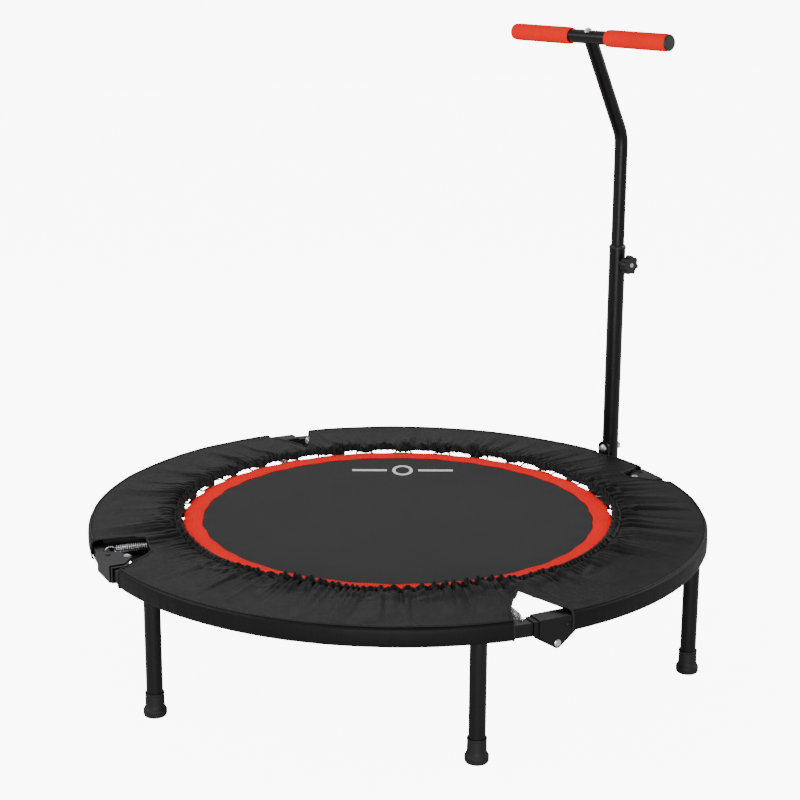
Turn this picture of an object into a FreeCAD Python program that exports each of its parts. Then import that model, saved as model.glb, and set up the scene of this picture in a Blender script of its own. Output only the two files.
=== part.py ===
import FreeCAD, Part
import os

import Sketcher

# A folding mini trampoline with a height-adjustable T handle. Millimetres, +Z up.
# The origin is the centre of the ring, on the floor. +X points at the right hinge,
# -Y at the front hinge. The frame folds in half about the Y axis: half A is x > 0.

os.makedirs("parts", exist_ok=True)
doc = FreeCAD.newDocument("mini_trampoline")
Vector = FreeCAD.Vector
Rotation = FreeCAD.Rotation
Placement = FreeCAD.Placement
UP = Vector(0, 0, 1)

DIMENSIONS = {
    # ring of square tube, in four quarters
    "ring_radius": 493, "tube_size": 20, "tube_wall": 1.5, "frame_bottom": 188,
    "frame_top": 208, "quarter_angle": 89.88,
    # hinges: an outer and an inner folded leaf, a pivot pin and a rivet through each tube
    "leaf_plate": 1.5, "leaf_reach": 30, "inner_leaf_reach": 38, "inner_leaf_start": 1,
    "leaf_shoulder": 14, "leaf_tip_radius": 8, "leaf_inside_width": 21.7,
    "leaf_gap": 0.3, "pivot_to_tube_top": 35, "leaf_centre_radius": 492.25,
    "pin_radius": 3, "pin_clearance": 0.05, "pin_head_radius": 5.5, "pin_head": 2,
    "rivet_radius": 2.5, "rivet_head_radius": 4.2, "rivet_head": 1.4,
    "rivet_offset": 18, "rivet_level": 25, "rivet_hole_length": 40,
    "leaf_channel_depth": 30,
    # screw-in legs with rubber feet
    "first_leg_angle": 15, "second_leg_angle": 76.8, "third_leg_angle": 131,
    "fourth_leg_angle": 195, "fifth_leg_angle": 256.8, "sixth_leg_angle": 315,
    "leg_circle_radius": 489.5, "leg_radius": 12.5, "leg_wall": 1.5, "leg_bottom": 6,
    "leg_top": 187.7, "leg_plug_length": 25, "stud_radius": 5, "stud_length": 23,
    "stud_clearance": 0.05, "foot_radius": 18, "foot_sleeve_radius": 14.5,
    "foot_height": 38, "foot_step": 10, "foot_clearance": 0.05,
    # springs, their rings and webbing tabs
    "wire_radius": 1.1, "coil_radius": 6.75, "coil_bore": 4.55, "coil_start": 421,
    "coil_end": 476, "coil_level": 208, "hook_level": 213.6, "hook_bend": 5,
    "hook_hole_circle": 491, "hook_hole_radius": 2.5, "hook_hole_length": 10,
    "hook_tip_level": 203.5, "hook_overlap": 3, "inner_hook_end": 5,
    "inner_hook_radius": 6, "inner_hook_circle": 408, "spring_pitch": 11.25,
    "vring_level": 206.5, "vring_wire": 3, "vring_base": 357.5, "vring_apex": 406.5,
    "vring_base_half": 19, "vring_apex_half": 7.5, "vring_slant_wire": 4,
    "tab_inner": 333, "tab_outer": 364, "tab_width": 26, "tab_bottom": 204,
    "tab_slot_gap": 0.2,
    # jumping mat, its coloured edge band and the spring cover
    "mat_radius": 354, "mat_bottom": 208.5, "mat_thickness": 1, "band_width": 32,
    "band_thickness": 2, "half_gap": 0.3, "half_sweep": 179.9,
    "cover_inner": 360, "cover_shoulder": 500, "cover_outer": 508, "cover_hem": 187,
    "cover_inner_top": 219, "cover_top": 217.5, "cover_thickness": 1.6,
    "cover_bevel": 8, "notch_floor": 442, "notch_mouth": 495, "notch_outside": 515,
    "notch_margin": 5, "front_notch": 44, "front_notch_floor": 8, "back_notch": 60,
    "back_notch_floor": 15, "side_notch_floor": 12, "side_notch_low": 64,
    "side_notch_high_a": 45, "side_notch_high_b": 60, "post_opening_gap": 4,
    "post_opening_bottom": 170, "post_opening_depth": 40, "post_opening_height": 60,
    # handle: lower post, sliding upper post with a bent arm, crossbar and grips
    "post_angle": 15, "post_circle_radius": 521.5, "post_radius": 14.3, "post_wall": 1.5,
    "post_bottom": 120, "post_top": 596, "bracket_width": 24, "bracket_thickness": 4,
    "bracket_bottom": 146, "bracket_top": 238, "bolt_radius": 4, "upper_bolt_level": 226,
    "lower_bolt_level": 162, "bolt_head_radius": 8, "bolt_head": 5, "nut_height": 6.5,
    "nut_radius": 7.5, "slide_clearance": 0.05, "bushing_length": 20,
    "bushing_flange": 6, "bushing_flange_radius": 15.2, "bar_radius": 11.6,
    "bar_wall": 1.5, "upper_bottom": 430, "glide_length": 20, "bend_level": 778,
    "bend_radius": 70, "arm_tilt": 27.35, "crossbar_circle_radius": 431,
    "crossbar_half": 174.3, "grip_radius": 14.6, "grip_start": 41, "grip_end": 174,
    "grip_edge": 2, "cap_thickness": 2.5, "cap_radius": 13.6, "cap_plug_length": 15,
    "saddle_length": 80, "arm_hole_length": 60, "arm_bolt_radius": 3, "arm_bolt_head_radius": 6.5,
    "arm_bolt_head": 4, "arm_insert_length": 22, "arm_insert_gap": 13,
    # clamp knob, turned about the post from the outward direction
    "knob_level": 570, "knob_turn": -93, "boss_radius": 9, "boss_end": 22,
    "screw_radius": 4, "screw_tip": 11.9, "screw_end": 0.6, "knob_start": 24.5,
    "knob_thickness": 12, "knob_radius": 17, "knob_lobes": 7,
    "knob_scallop_radius": 5.5, "knob_scallop_circle": 19.2, "core_length": 60,
}
sheet = doc.addObject("Spreadsheet::Sheet", "dim")
for row, (alias, number) in enumerate(DIMENSIONS.items(), start=1):
    sheet.set("A%d" % row, alias)
    sheet.set("B%d" % row, str(number))
    sheet.setAlias("B%d" % row, alias)
doc.recompute()

nodes = []
GROUP_TURNS = {"half_a": 0, "half_b": 180}


def value(expression):
    """The number that an expression on the sheet comes to now."""
    return float(sheet.evalExpression(expression))


def keep(thing, label, placement=None):
    """Registers an object as a sub-part under its node name."""
    thing.Label = label
    if placement is not None:
        thing.Placement = placement
    nodes.append(thing)
    return thing


def new_body(name):
    return doc.addObject("PartDesign::Body", name)


def new_sketch(body, role, name, height="0"):
    """An empty sketch on one of the body's own origin planes, raised along its normal."""
    sketch = body.newObject("Sketcher::SketchObject", name)
    plane = next(item for item in body.Origin.OriginFeatures if item.Role == role)
    sketch.AttachmentSupport = [(plane, "")]
    sketch.MapMode = "FlatFace"
    if height != "0":
        sketch.AttachmentOffset = Placement(Vector(0, 0, value(height)), Rotation())
        sketch.setExpression("AttachmentOffset.Base.z", height)
    return sketch


def fix_point(sketch, geometry, point, across, up):
    """Holds one sketch point at coordinates given as sheet expressions."""
    for kind, axis, expression in (("DistanceX", -2, across), ("DistanceY", -1, up)):
        if expression == "0":
            sketch.addConstraint(Sketcher.Constraint("PointOnObject", geometry, point, axis))
            continue
        index = sketch.addConstraint(
            Sketcher.Constraint(kind, -1, 1, geometry, point, value(expression)))
        sketch.setExpression("Constraints[%d]" % index, expression)


def outline(sketch, corners):
    """A closed polygon; each corner is a pair of sheet expressions."""
    first = sketch.GeometryCount
    points = [Vector(value(across), value(up), 0) for across, up in corners]
    count = len(points)
    for n in range(count):
        sketch.addGeometry(Part.LineSegment(points[n], points[(n + 1) % count]), False)
    for n in range(count):
        after = first + (n + 1) % count
        sketch.addConstraint(Sketcher.Constraint("Coincident", first + n, 2, after, 1))
    for n, (across, up) in enumerate(corners):
        fix_point(sketch, first + n, 1, across, up)


def circle(sketch, across, up, radius):
    centre = Vector(value(across), value(up), 0)
    geometry = sketch.addGeometry(Part.Circle(centre, UP, value(radius)), False)
    fix_point(sketch, geometry, 3, across, up)
    index = sketch.addConstraint(Sketcher.Constraint("Radius", geometry, value(radius)))
    sketch.setExpression("Constraints[%d]" % index, radius)


def pad(body, sketch, length, name, symmetric=False):
    feature = body.newObject("PartDesign::Pad", name)
    feature.Profile = sketch
    feature.Midplane = symmetric
    feature.setExpression("Length", length)
    return feature


def pocket(body, sketch, name, length=None):
    """Cuts both ways through everything, or downwards by a length."""
    feature = body.newObject("PartDesign::Pocket", name)
    feature.Profile = sketch
    if length is None:
        feature.Type = "ThroughAll"
        feature.Midplane = True
    else:
        feature.setExpression("Length", length)
    return feature


def revolve(body, sketch, name, angle=None):
    """Turns a profile in the XZ plane about Z, all the way or evenly to both sides."""
    feature = body.newObject("PartDesign::Revolution", name)
    feature.Profile = sketch
    feature.ReferenceAxis = (sketch, ["V_Axis"])
    if angle is None:
        feature.Angle = 360
    else:
        feature.Midplane = True
        feature.setExpression("Angle", angle)
    return feature


def turned_body(name, corners, angle=None):
    """A body of revolution about Z from a profile of (radius, height) corners."""
    body = new_body(name)
    sketch = new_sketch(body, "XZ_Plane", name + "_profile")
    outline(sketch, corners)
    revolve(body, sketch, name + "_turn", angle)
    return body


def drill(base, name, holes):
    """Cuts round holes, each (radius, length, placement of its foot), out of a body."""
    tools = []
    for n, (radius, length, placement) in enumerate(holes):
        tool = doc.addObject("Part::Cylinder", "%s_hole_%d" % (name, n + 1))
        tool.setExpression("Radius", radius)
        tool.setExpression("Height", length)
        tool.Placement = placement
        tools.append(tool)
    every_hole = doc.addObject("Part::Compound", name + "_holes")
    every_hole.Links = tools
    result = doc.addObject("Part::Cut", name)
    result.Base = base
    result.Tool = every_hole
    return result


def group(label, members):
    """One node of separate solids, each a (master, placement) pair."""
    doc.recompute()
    solids = []
    for master, placement in members:
        shape = master.Shape.copy()
        shape.Placement = placement.multiply(shape.Placement)
        solids.append(shape)
    feature = doc.addObject("Part::Feature", label)
    feature.Shape = Part.makeCompound(solids)
    return keep(feature, label)


def copies(master, label, placements):
    """One node that groups equal separate solids, all placed from the same master."""
    return group(label, [(master, placement) for placement in placements])


def around(azimuth):
    return Placement(Vector(), Rotation(UP, azimuth))


def lift(height):
    return Placement(Vector(0, 0, height), Rotation())


def ring_place(azimuth, radius, height=0):
    """A place on a circle about the ring's centre, its own +X pointing outwards."""
    return around(azimuth).multiply(Placement(Vector(radius, 0, height), Rotation()))


# ---- hinge frames: local X along the tube towards the outer leaf's own tube, local Y
# along the pivot, local Z from the pivot towards the leaf's back plate ----
PIVOT_LEVEL = value("dim.frame_top - dim.pivot_to_tube_top")
SIDE_PIVOT = value("dim.ring_radius + dim.tube_size / 2 - dim.pivot_to_tube_top")
MIDDLE = value("dim.frame_bottom + dim.tube_size / 2")
LEAF_CIRCLE = value("dim.leaf_centre_radius")
HINGES = {
    "front": Placement(Vector(0, -LEAF_CIRCLE, PIVOT_LEVEL), Rotation()),
    "right": Placement(Vector(SIDE_PIVOT, 0, MIDDLE),
                       Rotation(Vector(0, 1, 0), Vector(0, 0, 1), Vector(1, 0, 0), "ZXY")),
    "back": Placement(Vector(0, LEAF_CIRCLE, PIVOT_LEVEL), Rotation()),
    "left": Placement(Vector(-SIDE_PIVOT, 0, MIDDLE),
                      Rotation(Vector(0, 1, 0), Vector(0, 0, -1), Vector(-1, 0, 0), "ZXY")),
}
# each quarter tube: its middle azimuth, then the hinges at its two ends with the side
# of the hinge that it is on (+1 carries the outer leaf)
QUARTERS = {
    "frame_tube_front_right": (315, ("front", 1), ("right", -1)),
    "frame_tube_back_right": (45, ("right", 1), ("back", 1)),
    "frame_tube_back_left": (135, ("back", -1), ("left", 1)),
    "frame_tube_front_left": (225, ("left", -1), ("front", -1)),
}
TURN_TO_LOCAL_Y = Rotation(Vector(1, 0, 0), -90)
NEAR_A = ("front", "right", "back")


def hinge_spot(hinge, along, level):
    """A place in a hinge's frame whose own Z runs along the pivot direction."""
    return HINGES[hinge].multiply(Placement(Vector(along, 0, level), TURN_TO_LOCAL_Y))


def rivet_spot(hinge, side):
    return hinge_spot(hinge, side * value("dim.rivet_offset"), value("dim.rivet_level"))


# ---- frame ----
def build_quarter(label, middle, ends):
    """Quarter of the ring: a square tube turned about Z, with its spring and rivet holes."""
    body = new_body(label + "_body")
    profile = new_sketch(body, "XZ_Plane", label + "_profile")
    inner, outer = "dim.ring_radius - dim.tube_size / 2", "dim.ring_radius + dim.tube_size / 2"
    outline(profile, [(inner, "dim.frame_bottom"), (outer, "dim.frame_bottom"),
                      (outer, "dim.frame_top"), (inner, "dim.frame_top")])
    low, high = "dim.frame_bottom + dim.tube_wall", "dim.frame_top - dim.tube_wall"
    outline(profile, [(inner + " + dim.tube_wall", low), (outer + " - dim.tube_wall", low),
                      (outer + " - dim.tube_wall", high), (inner + " + dim.tube_wall", high)])
    revolve(body, profile, label + "_turn", "dim.quarter_angle")
    doc.recompute()
    body.Placement = around(middle)
    holes = []
    for hinge, side in ends:
        start = rivet_spot(hinge, side).multiply(lift(value("-dim.rivet_hole_length / 2")))
        holes.append(("dim.rivet_radius", "dim.rivet_hole_length", start))
    above = value("dim.frame_top - 2 * dim.tube_wall")
    for n in range(8):
        azimuth = middle + (n - 3.5) * value("dim.spring_pitch")
        spot = ring_place(azimuth, value("dim.hook_hole_circle"), above)
        holes.append(("dim.hook_hole_radius", "dim.hook_hole_length", spot))
    keep(drill(body, label, holes), label)


def build_leaf(name, start, reach, back_face, inside_width, rivet_side):
    """A folded plate: a channel whose two ears narrow to a round tip about the pivot."""
    body = new_body(name)
    ear = new_sketch(body, "XZ_Plane", name + "_ear")
    xs, xr, top = value(start), value(reach), value(back_face)
    shoulder, tip = value("dim.leaf_shoulder"), value("dim.leaf_tip_radius")
    # the arc runs under the pivot, from the start side to the reach side
    sign = 1 if xr > xs else -1
    low = "dim.leaf_shoulder" if abs(xs) > tip else back_face + " - 2 * dim.leaf_plate"
    corners = [Vector(xs, value(low), 0), Vector(xs, top, 0), Vector(xr, top, 0),
               Vector(xr, shoulder, 0)]
    arc_ends = [Vector(sign * tip * 0.8, -tip * 0.6, 0), Vector(-sign * tip * 0.8, -tip * 0.6, 0)]
    path = corners + arc_ends
    for n in range(4):
        ear.addGeometry(Part.LineSegment(path[n], path[n + 1]), False)
    bottom = Vector(0, -tip, 0)
    ear.addGeometry(Part.Arc(arc_ends[0], bottom, arc_ends[1]), False)
    ear.addGeometry(Part.LineSegment(arc_ends[1], corners[0]), False)
    arc_points = (1, 2) if sign < 0 else (2, 1)
    for n in range(3):
        ear.addConstraint(Sketcher.Constraint("Coincident", n, 2, n + 1, 1))
    ear.addConstraint(Sketcher.Constraint("Tangent", 3, 2, 4, arc_points[0]))
    ear.addConstraint(Sketcher.Constraint("Tangent", 5, 1, 4, arc_points[1]))
    ear.addConstraint(Sketcher.Constraint("Coincident", 5, 2, 0, 1))
    ear.addConstraint(Sketcher.Constraint("Coincident", 4, 3, -1, 1))
    index = ear.addConstraint(Sketcher.Constraint("Radius", 4, tip))
    ear.setExpression("Constraints[%d]" % index, "dim.leaf_tip_radius")
    fix_point(ear, 0, 1, start, low)
    fix_point(ear, 1, 1, start, back_face)
    fix_point(ear, 2, 1, reach, back_face)
    fix_point(ear, 3, 1, reach, "dim.leaf_shoulder")
    pad(body, ear, inside_width + " + 2 * dim.leaf_plate", name + "_block", symmetric=True)
    slot = new_sketch(body, "YZ_Plane", name + "_slot")
    half = "(" + inside_width + ") / 2"
    web = back_face + " - dim.leaf_plate"
    outline(slot, [("-" + half, "-dim.leaf_channel_depth"), (half, "-dim.leaf_channel_depth"),
                   (half, web), ("-" + half, web)])
    pocket(body, slot, name + "_channel")
    holes = new_sketch(body, "XZ_Plane", name + "_holes")
    play = "" if rivet_side > 0 else " + dim.pin_clearance"
    circle(holes, "0", "0", "dim.pin_radius" + play)
    circle(holes, "%d * dim.rivet_offset" % rivet_side, "dim.rivet_level", "dim.rivet_radius")
    pocket(body, holes, name + "_drilling")
    return body


def build_rivet(name, radius, half_length, head_radius, head):
    """A plain rivet about Z with a low bevelled head at each end."""
    edge = "(%s) * 0.65" % head_radius
    corners = [("0", "-(%s) - %s" % (half_length, head)),
               (edge, "-(%s) - %s" % (half_length, head)),
               (head_radius, "-(%s) - %s * 0.4" % (half_length, head)),
               (head_radius, "-(%s)" % half_length), (radius, "-(%s)" % half_length),
               (radius, half_length), (head_radius, half_length),
               (head_radius, "(%s) + %s * 0.4" % (half_length, head)),
               (edge, "(%s) + %s" % (half_length, head)),
               ("0", "(%s) + %s" % (half_length, head))]
    return turned_body(name, corners)


def build_hinges():
    outer_inside = "dim.leaf_inside_width + 2 * dim.leaf_plate + 2 * dim.leaf_gap"
    outer_face = "dim.pivot_to_tube_top + 2 * dim.leaf_gap + 2 * dim.leaf_plate"
    inner_face = "dim.pivot_to_tube_top + dim.leaf_gap + dim.leaf_plate"
    for hinge, frame in HINGES.items():
        outer = build_leaf("outer_leaf_" + hinge, "-dim.leaf_reach", "dim.leaf_reach",
                           outer_face, outer_inside, 1)
        keep(outer, "hinge_outer_leaf_" + hinge, frame)
        inner = build_leaf("inner_leaf_" + hinge, "-dim.inner_leaf_start",
                           "-dim.inner_leaf_reach", inner_face, "dim.leaf_inside_width", -1)
        keep(inner, "hinge_inner_leaf_" + hinge, frame)
    outer_half = "(%s) / 2 + dim.leaf_plate" % outer_inside
    pin = build_rivet("pivot_pin", "dim.pin_radius", outer_half, "dim.pin_head_radius",
                      "dim.pin_head")
    rivet = build_rivet("leaf_rivet", "dim.rivet_radius", outer_half,
                        "dim.rivet_head_radius", "dim.rivet_head")
    flush_half = "dim.leaf_inside_width / 2 + dim.leaf_plate"
    flush = turned_body("flush_rivet", [("0", "-(%s)" % flush_half),
                                        ("dim.rivet_radius", "-(%s)" % flush_half),
                                        ("dim.rivet_radius", flush_half), ("0", flush_half)])
    copies(pin, "hinge_pins_a", [hinge_spot(hinge, 0, 0) for hinge in NEAR_A])
    copies(pin, "hinge_pin_b", [hinge_spot("left", 0, 0)])
    group("leaf_rivets_a", [(rivet, rivet_spot(hinge, 1)) for hinge in NEAR_A]
          + [(flush, rivet_spot("right", -1))])
    group("leaf_rivets_b", [(rivet, rivet_spot("left", 1))]
          + [(flush, rivet_spot(hinge, -1)) for hinge in ("front", "back", "left")])


# ---- legs ----
LEG_ANGLES = [value("dim.%s_leg_angle" % which)
              for which in ("first", "second", "third", "fourth", "fifth", "sixth")]
LEGS_OF_HALF = {"a": (0, 1, 5), "b": (2, 3, 4)}


def build_legs():
    inside = "dim.leg_radius - dim.leg_wall"
    bore = "dim.stud_radius + dim.stud_clearance"
    plug = "dim.leg_top - dim.leg_plug_length"
    sleeve_bore = "dim.leg_radius + dim.foot_clearance"
    spots = [ring_place(angle, value("dim.leg_circle_radius")) for angle in LEG_ANGLES]
    for n, spot in enumerate(spots):
        tube = turned_body("leg_tube_body_%d" % (n + 1), [
            (inside, "dim.leg_bottom"), ("dim.leg_radius", "dim.leg_bottom"),
            ("dim.leg_radius", "dim.leg_top"), (bore, "dim.leg_top"), (bore, plug),
            (inside, plug)])
        keep(tube, "leg_tube_%d" % (n + 1), spot)
        foot = turned_body("foot_body_%d" % (n + 1), [
            ("0", "0"), ("dim.foot_radius - 2", "0"), ("dim.foot_radius", "2"),
            ("dim.foot_radius", "dim.foot_step"),
            ("dim.foot_sleeve_radius", "dim.foot_step + 4"),
            ("dim.foot_sleeve_radius", "dim.foot_height - 1"),
            ("dim.foot_sleeve_radius - 1", "dim.foot_height"),
            (sleeve_bore, "dim.foot_height"), (sleeve_bore, "dim.leg_bottom"),
            ("0", "dim.leg_bottom")])
        keep(foot, "foot_%d" % (n + 1), spot)
    stud = turned_body("leg_stud", [
        ("0", "dim.frame_bottom - dim.stud_length"),
        ("dim.stud_radius", "dim.frame_bottom - dim.stud_length"),
        ("dim.stud_radius", "dim.frame_bottom"), ("0", "dim.frame_bottom")])
    for half, legs in LEGS_OF_HALF.items():
        copies(stud, "leg_studs_" + half, [spots[n] for n in legs])


# ---- springs, rings and tabs ----
def wire_path(sketch, start, corner, end):
    """A sketched wire run: a line, a tangent arc through three points, and a line."""
    first, last = Vector(*start), Vector(*end)
    into, out, middle = (Vector(*point) for point in corner)
    sketch.addGeometry(Part.LineSegment(first, into), False)
    sketch.addGeometry(Part.Arc(into, middle, out), False)
    sketch.addGeometry(Part.LineSegment(out, last), False)
    for n in range(3):
        sketch.addConstraint(Sketcher.Constraint("Block", n))


def wire(body, name, plane, height, at_x, at_y, path):
    """A round wire swept along the sketched path that starts at its own section."""
    spine = new_sketch(body, "XZ_Plane", name + "_path")
    wire_path(spine, *path)
    section = new_sketch(body, plane, name + "_section", height)
    circle(section, at_x, at_y, "dim.wire_radius")
    pipe = body.newObject("PartDesign::AdditivePipe", name)
    pipe.Profile = section
    pipe.Spine = spine
    pipe.Mode = "Frenet"


def build_spring():
    """One tension spring lying along X, its coil as a closed sleeve, with a hook at each end."""
    top, low = "dim.coil_level + dim.coil_radius", "dim.coil_level + dim.coil_bore"
    body = new_body("spring")
    ring = new_sketch(body, "YZ_Plane", "spring_coil_ring", "dim.coil_start")
    circle(ring, "0", "dim.coil_level", "dim.coil_radius")
    circle(ring, "0", "dim.coil_level", "dim.coil_bore")
    pad(body, ring, "dim.coil_end - dim.coil_start", "spring_coil")
    hole, level = value("dim.hook_hole_circle"), value("dim.hook_level")
    bend, tip = value("dim.hook_bend"), value("dim.hook_tip_level")
    slant = bend * 0.7071
    wire(body, "outer_hook", "XY_Plane", "dim.hook_tip_level", "dim.hook_hole_circle", "0",
         ((hole, tip, 0), ((hole, level - bend, 0), (hole - bend, level, 0),
          (hole - bend + slant, level - bend + slant, 0)),
          (value("dim.coil_end - dim.hook_overlap"), level, 0)))
    start = value("dim.coil_start + dim.hook_overlap")
    centre = value("dim.inner_hook_circle")
    ring_level, radius = value("dim.vring_level"), value("dim.inner_hook_radius")
    wire(body, "inner_hook", "YZ_Plane", "dim.coil_start + dim.hook_overlap", "0",
         "dim.vring_level + dim.inner_hook_radius",
         ((start, ring_level + radius, 0),
          ((centre, ring_level + radius, 0), (centre, ring_level - radius, 0),
           (centre - radius, ring_level, 0)),
          (centre + value("dim.inner_hook_end"), ring_level - radius, 0)))
    return body


def build_vring():
    body = new_body("vring")
    sketch = new_sketch(body, "XY_Plane", "vring_outline", "dim.vring_level - dim.vring_wire / 2")
    base, apex = "dim.vring_base", "dim.vring_apex"
    outline(sketch, [(base, "-dim.vring_base_half"), (apex, "-dim.vring_apex_half"),
                     (apex, "dim.vring_apex_half"), (base, "dim.vring_base_half")])
    base_in, apex_in = base + " + dim.vring_wire", apex + " - dim.vring_wire"
    base_half = "dim.vring_base_half - dim.vring_slant_wire"
    apex_half = "dim.vring_apex_half - dim.vring_wire"
    outline(sketch, [(base_in, "-(%s)" % base_half), (apex_in, "-(%s)" % apex_half),
                     (apex_in, apex_half), (base_in, base_half)])
    pad(body, sketch, "dim.vring_wire", "vring_pad")
    return body


def build_tab():
    """A folded webbing tab under the mat, wrapped about the base of its ring."""
    body = new_body("tab")
    sketch = new_sketch(body, "XZ_Plane", "tab_section")
    outline(sketch, [("dim.tab_inner", "dim.tab_bottom"), ("dim.tab_outer", "dim.tab_bottom"),
                     ("dim.tab_outer", "dim.mat_bottom"), ("dim.tab_inner", "dim.mat_bottom")])
    near = "dim.vring_base - dim.tab_slot_gap"
    far = "dim.vring_base + dim.vring_wire + dim.tab_slot_gap"
    low = "dim.vring_level - dim.vring_wire / 2 - dim.tab_slot_gap"
    high = "dim.vring_level + dim.vring_wire / 2 + dim.tab_slot_gap"
    outline(sketch, [(near, low), (far, low), (far, high), (near, high)])
    pad(body, sketch, "dim.tab_width", "tab_pad", symmetric=True)
    return body


def build_suspension():
    masters = {"springs": build_spring(), "mat_rings": build_vring(), "mat_tabs": build_tab()}
    pitch = value("dim.spring_pitch")
    for half, turn in GROUP_TURNS.items():
        places = [around(turn + (n - 7.5) * pitch) for n in range(16)]
        for name, master in masters.items():
            copies(master, name + half[-2:], places)


# ---- mat, band and cover ----
def build_mat(label):
    """Half of the round mat inside its edge band, a short gap from the fold line."""
    body = new_body(label + "_body")
    sketch = new_sketch(body, "XY_Plane", label + "_outline", "dim.mat_bottom")
    disc = "dim.mat_radius - dim.band_width"
    radius, gap = value(disc), value("dim.half_gap")
    high = (radius ** 2 - gap ** 2) ** 0.5
    low_end, high_end = Vector(gap, -high, 0), Vector(gap, high, 0)
    sketch.addGeometry(Part.Arc(low_end, Vector(radius, 0, 0), high_end), False)
    sketch.addGeometry(Part.LineSegment(high_end, low_end), False)
    sketch.addConstraint(Sketcher.Constraint("Coincident", 0, 2, 1, 1))
    sketch.addConstraint(Sketcher.Constraint("Coincident", 1, 2, 0, 1))
    sketch.addConstraint(Sketcher.Constraint("Coincident", 0, 3, -1, 1))
    sketch.addConstraint(Sketcher.Constraint("Vertical", 1))
    index = sketch.addConstraint(Sketcher.Constraint("Radius", 0, radius))
    sketch.setExpression("Constraints[%d]" % index, disc)
    index = sketch.addConstraint(Sketcher.Constraint("DistanceX", -1, 1, 1, 1, gap))
    sketch.setExpression("Constraints[%d]" % index, "dim.half_gap")
    pad(body, sketch, "dim.mat_thickness", label + "_pad")
    return body


def build_band(label):
    inner = "dim.mat_radius - dim.band_width"
    low = "dim.mat_bottom"
    high = low + " + dim.band_thickness"
    return turned_body(label + "_body", [(inner, low), ("dim.mat_radius", low),
                                         ("dim.mat_radius", high), (inner, high)],
                       "dim.half_sweep")


def build_cover(label, side_high, for_post):
    """Half of the spring cover, notched at the three hinges that it meets."""
    skin, bevel = "dim.cover_thickness", "dim.cover_bevel"
    inside = "dim.cover_outer - " + skin
    body = turned_body(label + "_body", [
        ("dim.cover_inner", "dim.cover_inner_top"), ("dim.cover_shoulder", "dim.cover_top"),
        ("dim.cover_outer", "dim.cover_top - " + bevel), ("dim.cover_outer", "dim.cover_hem"),
        (inside, "dim.cover_hem"), (inside, "dim.cover_top - %s - %s * 0.4" % (bevel, skin)),
        ("dim.cover_shoulder - %s * 0.4" % skin, "dim.cover_top - " + skin),
        ("dim.cover_inner", "dim.cover_inner_top - " + skin)], "dim.half_sweep")
    floor, mouth, outside = "dim.notch_floor", "dim.notch_mouth", "dim.notch_outside"
    start = "-dim.notch_margin"
    notches = {
        "front": [(start, "-" + outside), ("dim.front_notch", "-" + outside),
                  ("dim.front_notch", "-" + mouth), ("dim.front_notch_floor", "-" + floor),
                  (start, "-" + floor)],
        "back": [(start, outside), ("dim.back_notch", outside), ("dim.back_notch", mouth),
                 ("dim.back_notch_floor", floor), (start, floor)],
        "side": [(outside, "-dim.side_notch_low"), (mouth, "-dim.side_notch_low"),
                 (floor, "-dim.side_notch_floor"), (floor, "dim.side_notch_floor"),
                 (mouth, side_high), (outside, side_high)],
    }
    for name, corners in notches.items():
        sketch = new_sketch(body, "XY_Plane", "%s_%s_notch" % (label, name))
        outline(sketch, corners)
        pocket(body, sketch, "%s_%s_cut" % (label, name))
    if not for_post:
        return body
    opening = doc.addObject("Part::Box", label + "_post_opening")
    opening.setExpression("Length", "dim.post_opening_depth")
    opening.setExpression("Width", "dim.bracket_width + 2 * dim.post_opening_gap")
    opening.setExpression("Height", "dim.post_opening_height")
    corner = Placement(Vector(value("dim.cover_shoulder"),
                              -value("dim.bracket_width / 2 + dim.post_opening_gap"),
                              value("dim.post_opening_bottom")), Rotation())
    opening.Placement = around(value("dim.post_angle")).multiply(corner)
    cut = doc.addObject("Part::Cut", label + "_notched")
    cut.Base = body
    cut.Tool = opening
    return cut


def build_soft_parts():
    for half, turn in GROUP_TURNS.items():
        side = half[-2:]
        keep(build_mat("mat" + side), "mat" + side, around(turn))
        keep(build_band("mat_band" + side), "mat_band" + side, around(turn))
    keep(build_cover("cover_a", "dim.side_notch_high_a", True), "cover_a")
    keep(build_cover("cover_b", "dim.side_notch_high_b", False), "cover_b", around(180))


# ---- handle, in a local frame with +X outwards along the post's azimuth ----
POST = around(value("dim.post_angle"))
POST_SPOT = ring_place(value("dim.post_angle"), value("dim.post_circle_radius"))
OUTWARD = Rotation(Vector(0, 1, 0), 90)


def outward_spot(level, distance=0):
    """A place on the post's axis whose own Z points outwards from the ring."""
    return POST_SPOT.multiply(Placement(Vector(distance, 0, level), OUTWARD))


def knob_spot(distance=0):
    """A place at the knob's level whose own Z points from the post along the screw."""
    aimed = Placement(Vector(0, 0, value("dim.knob_level")),
                      Rotation(UP, value("dim.knob_turn")))
    reach = Placement(Vector(distance, 0, 0), OUTWARD)
    return POST_SPOT.multiply(aimed).multiply(reach)


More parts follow.
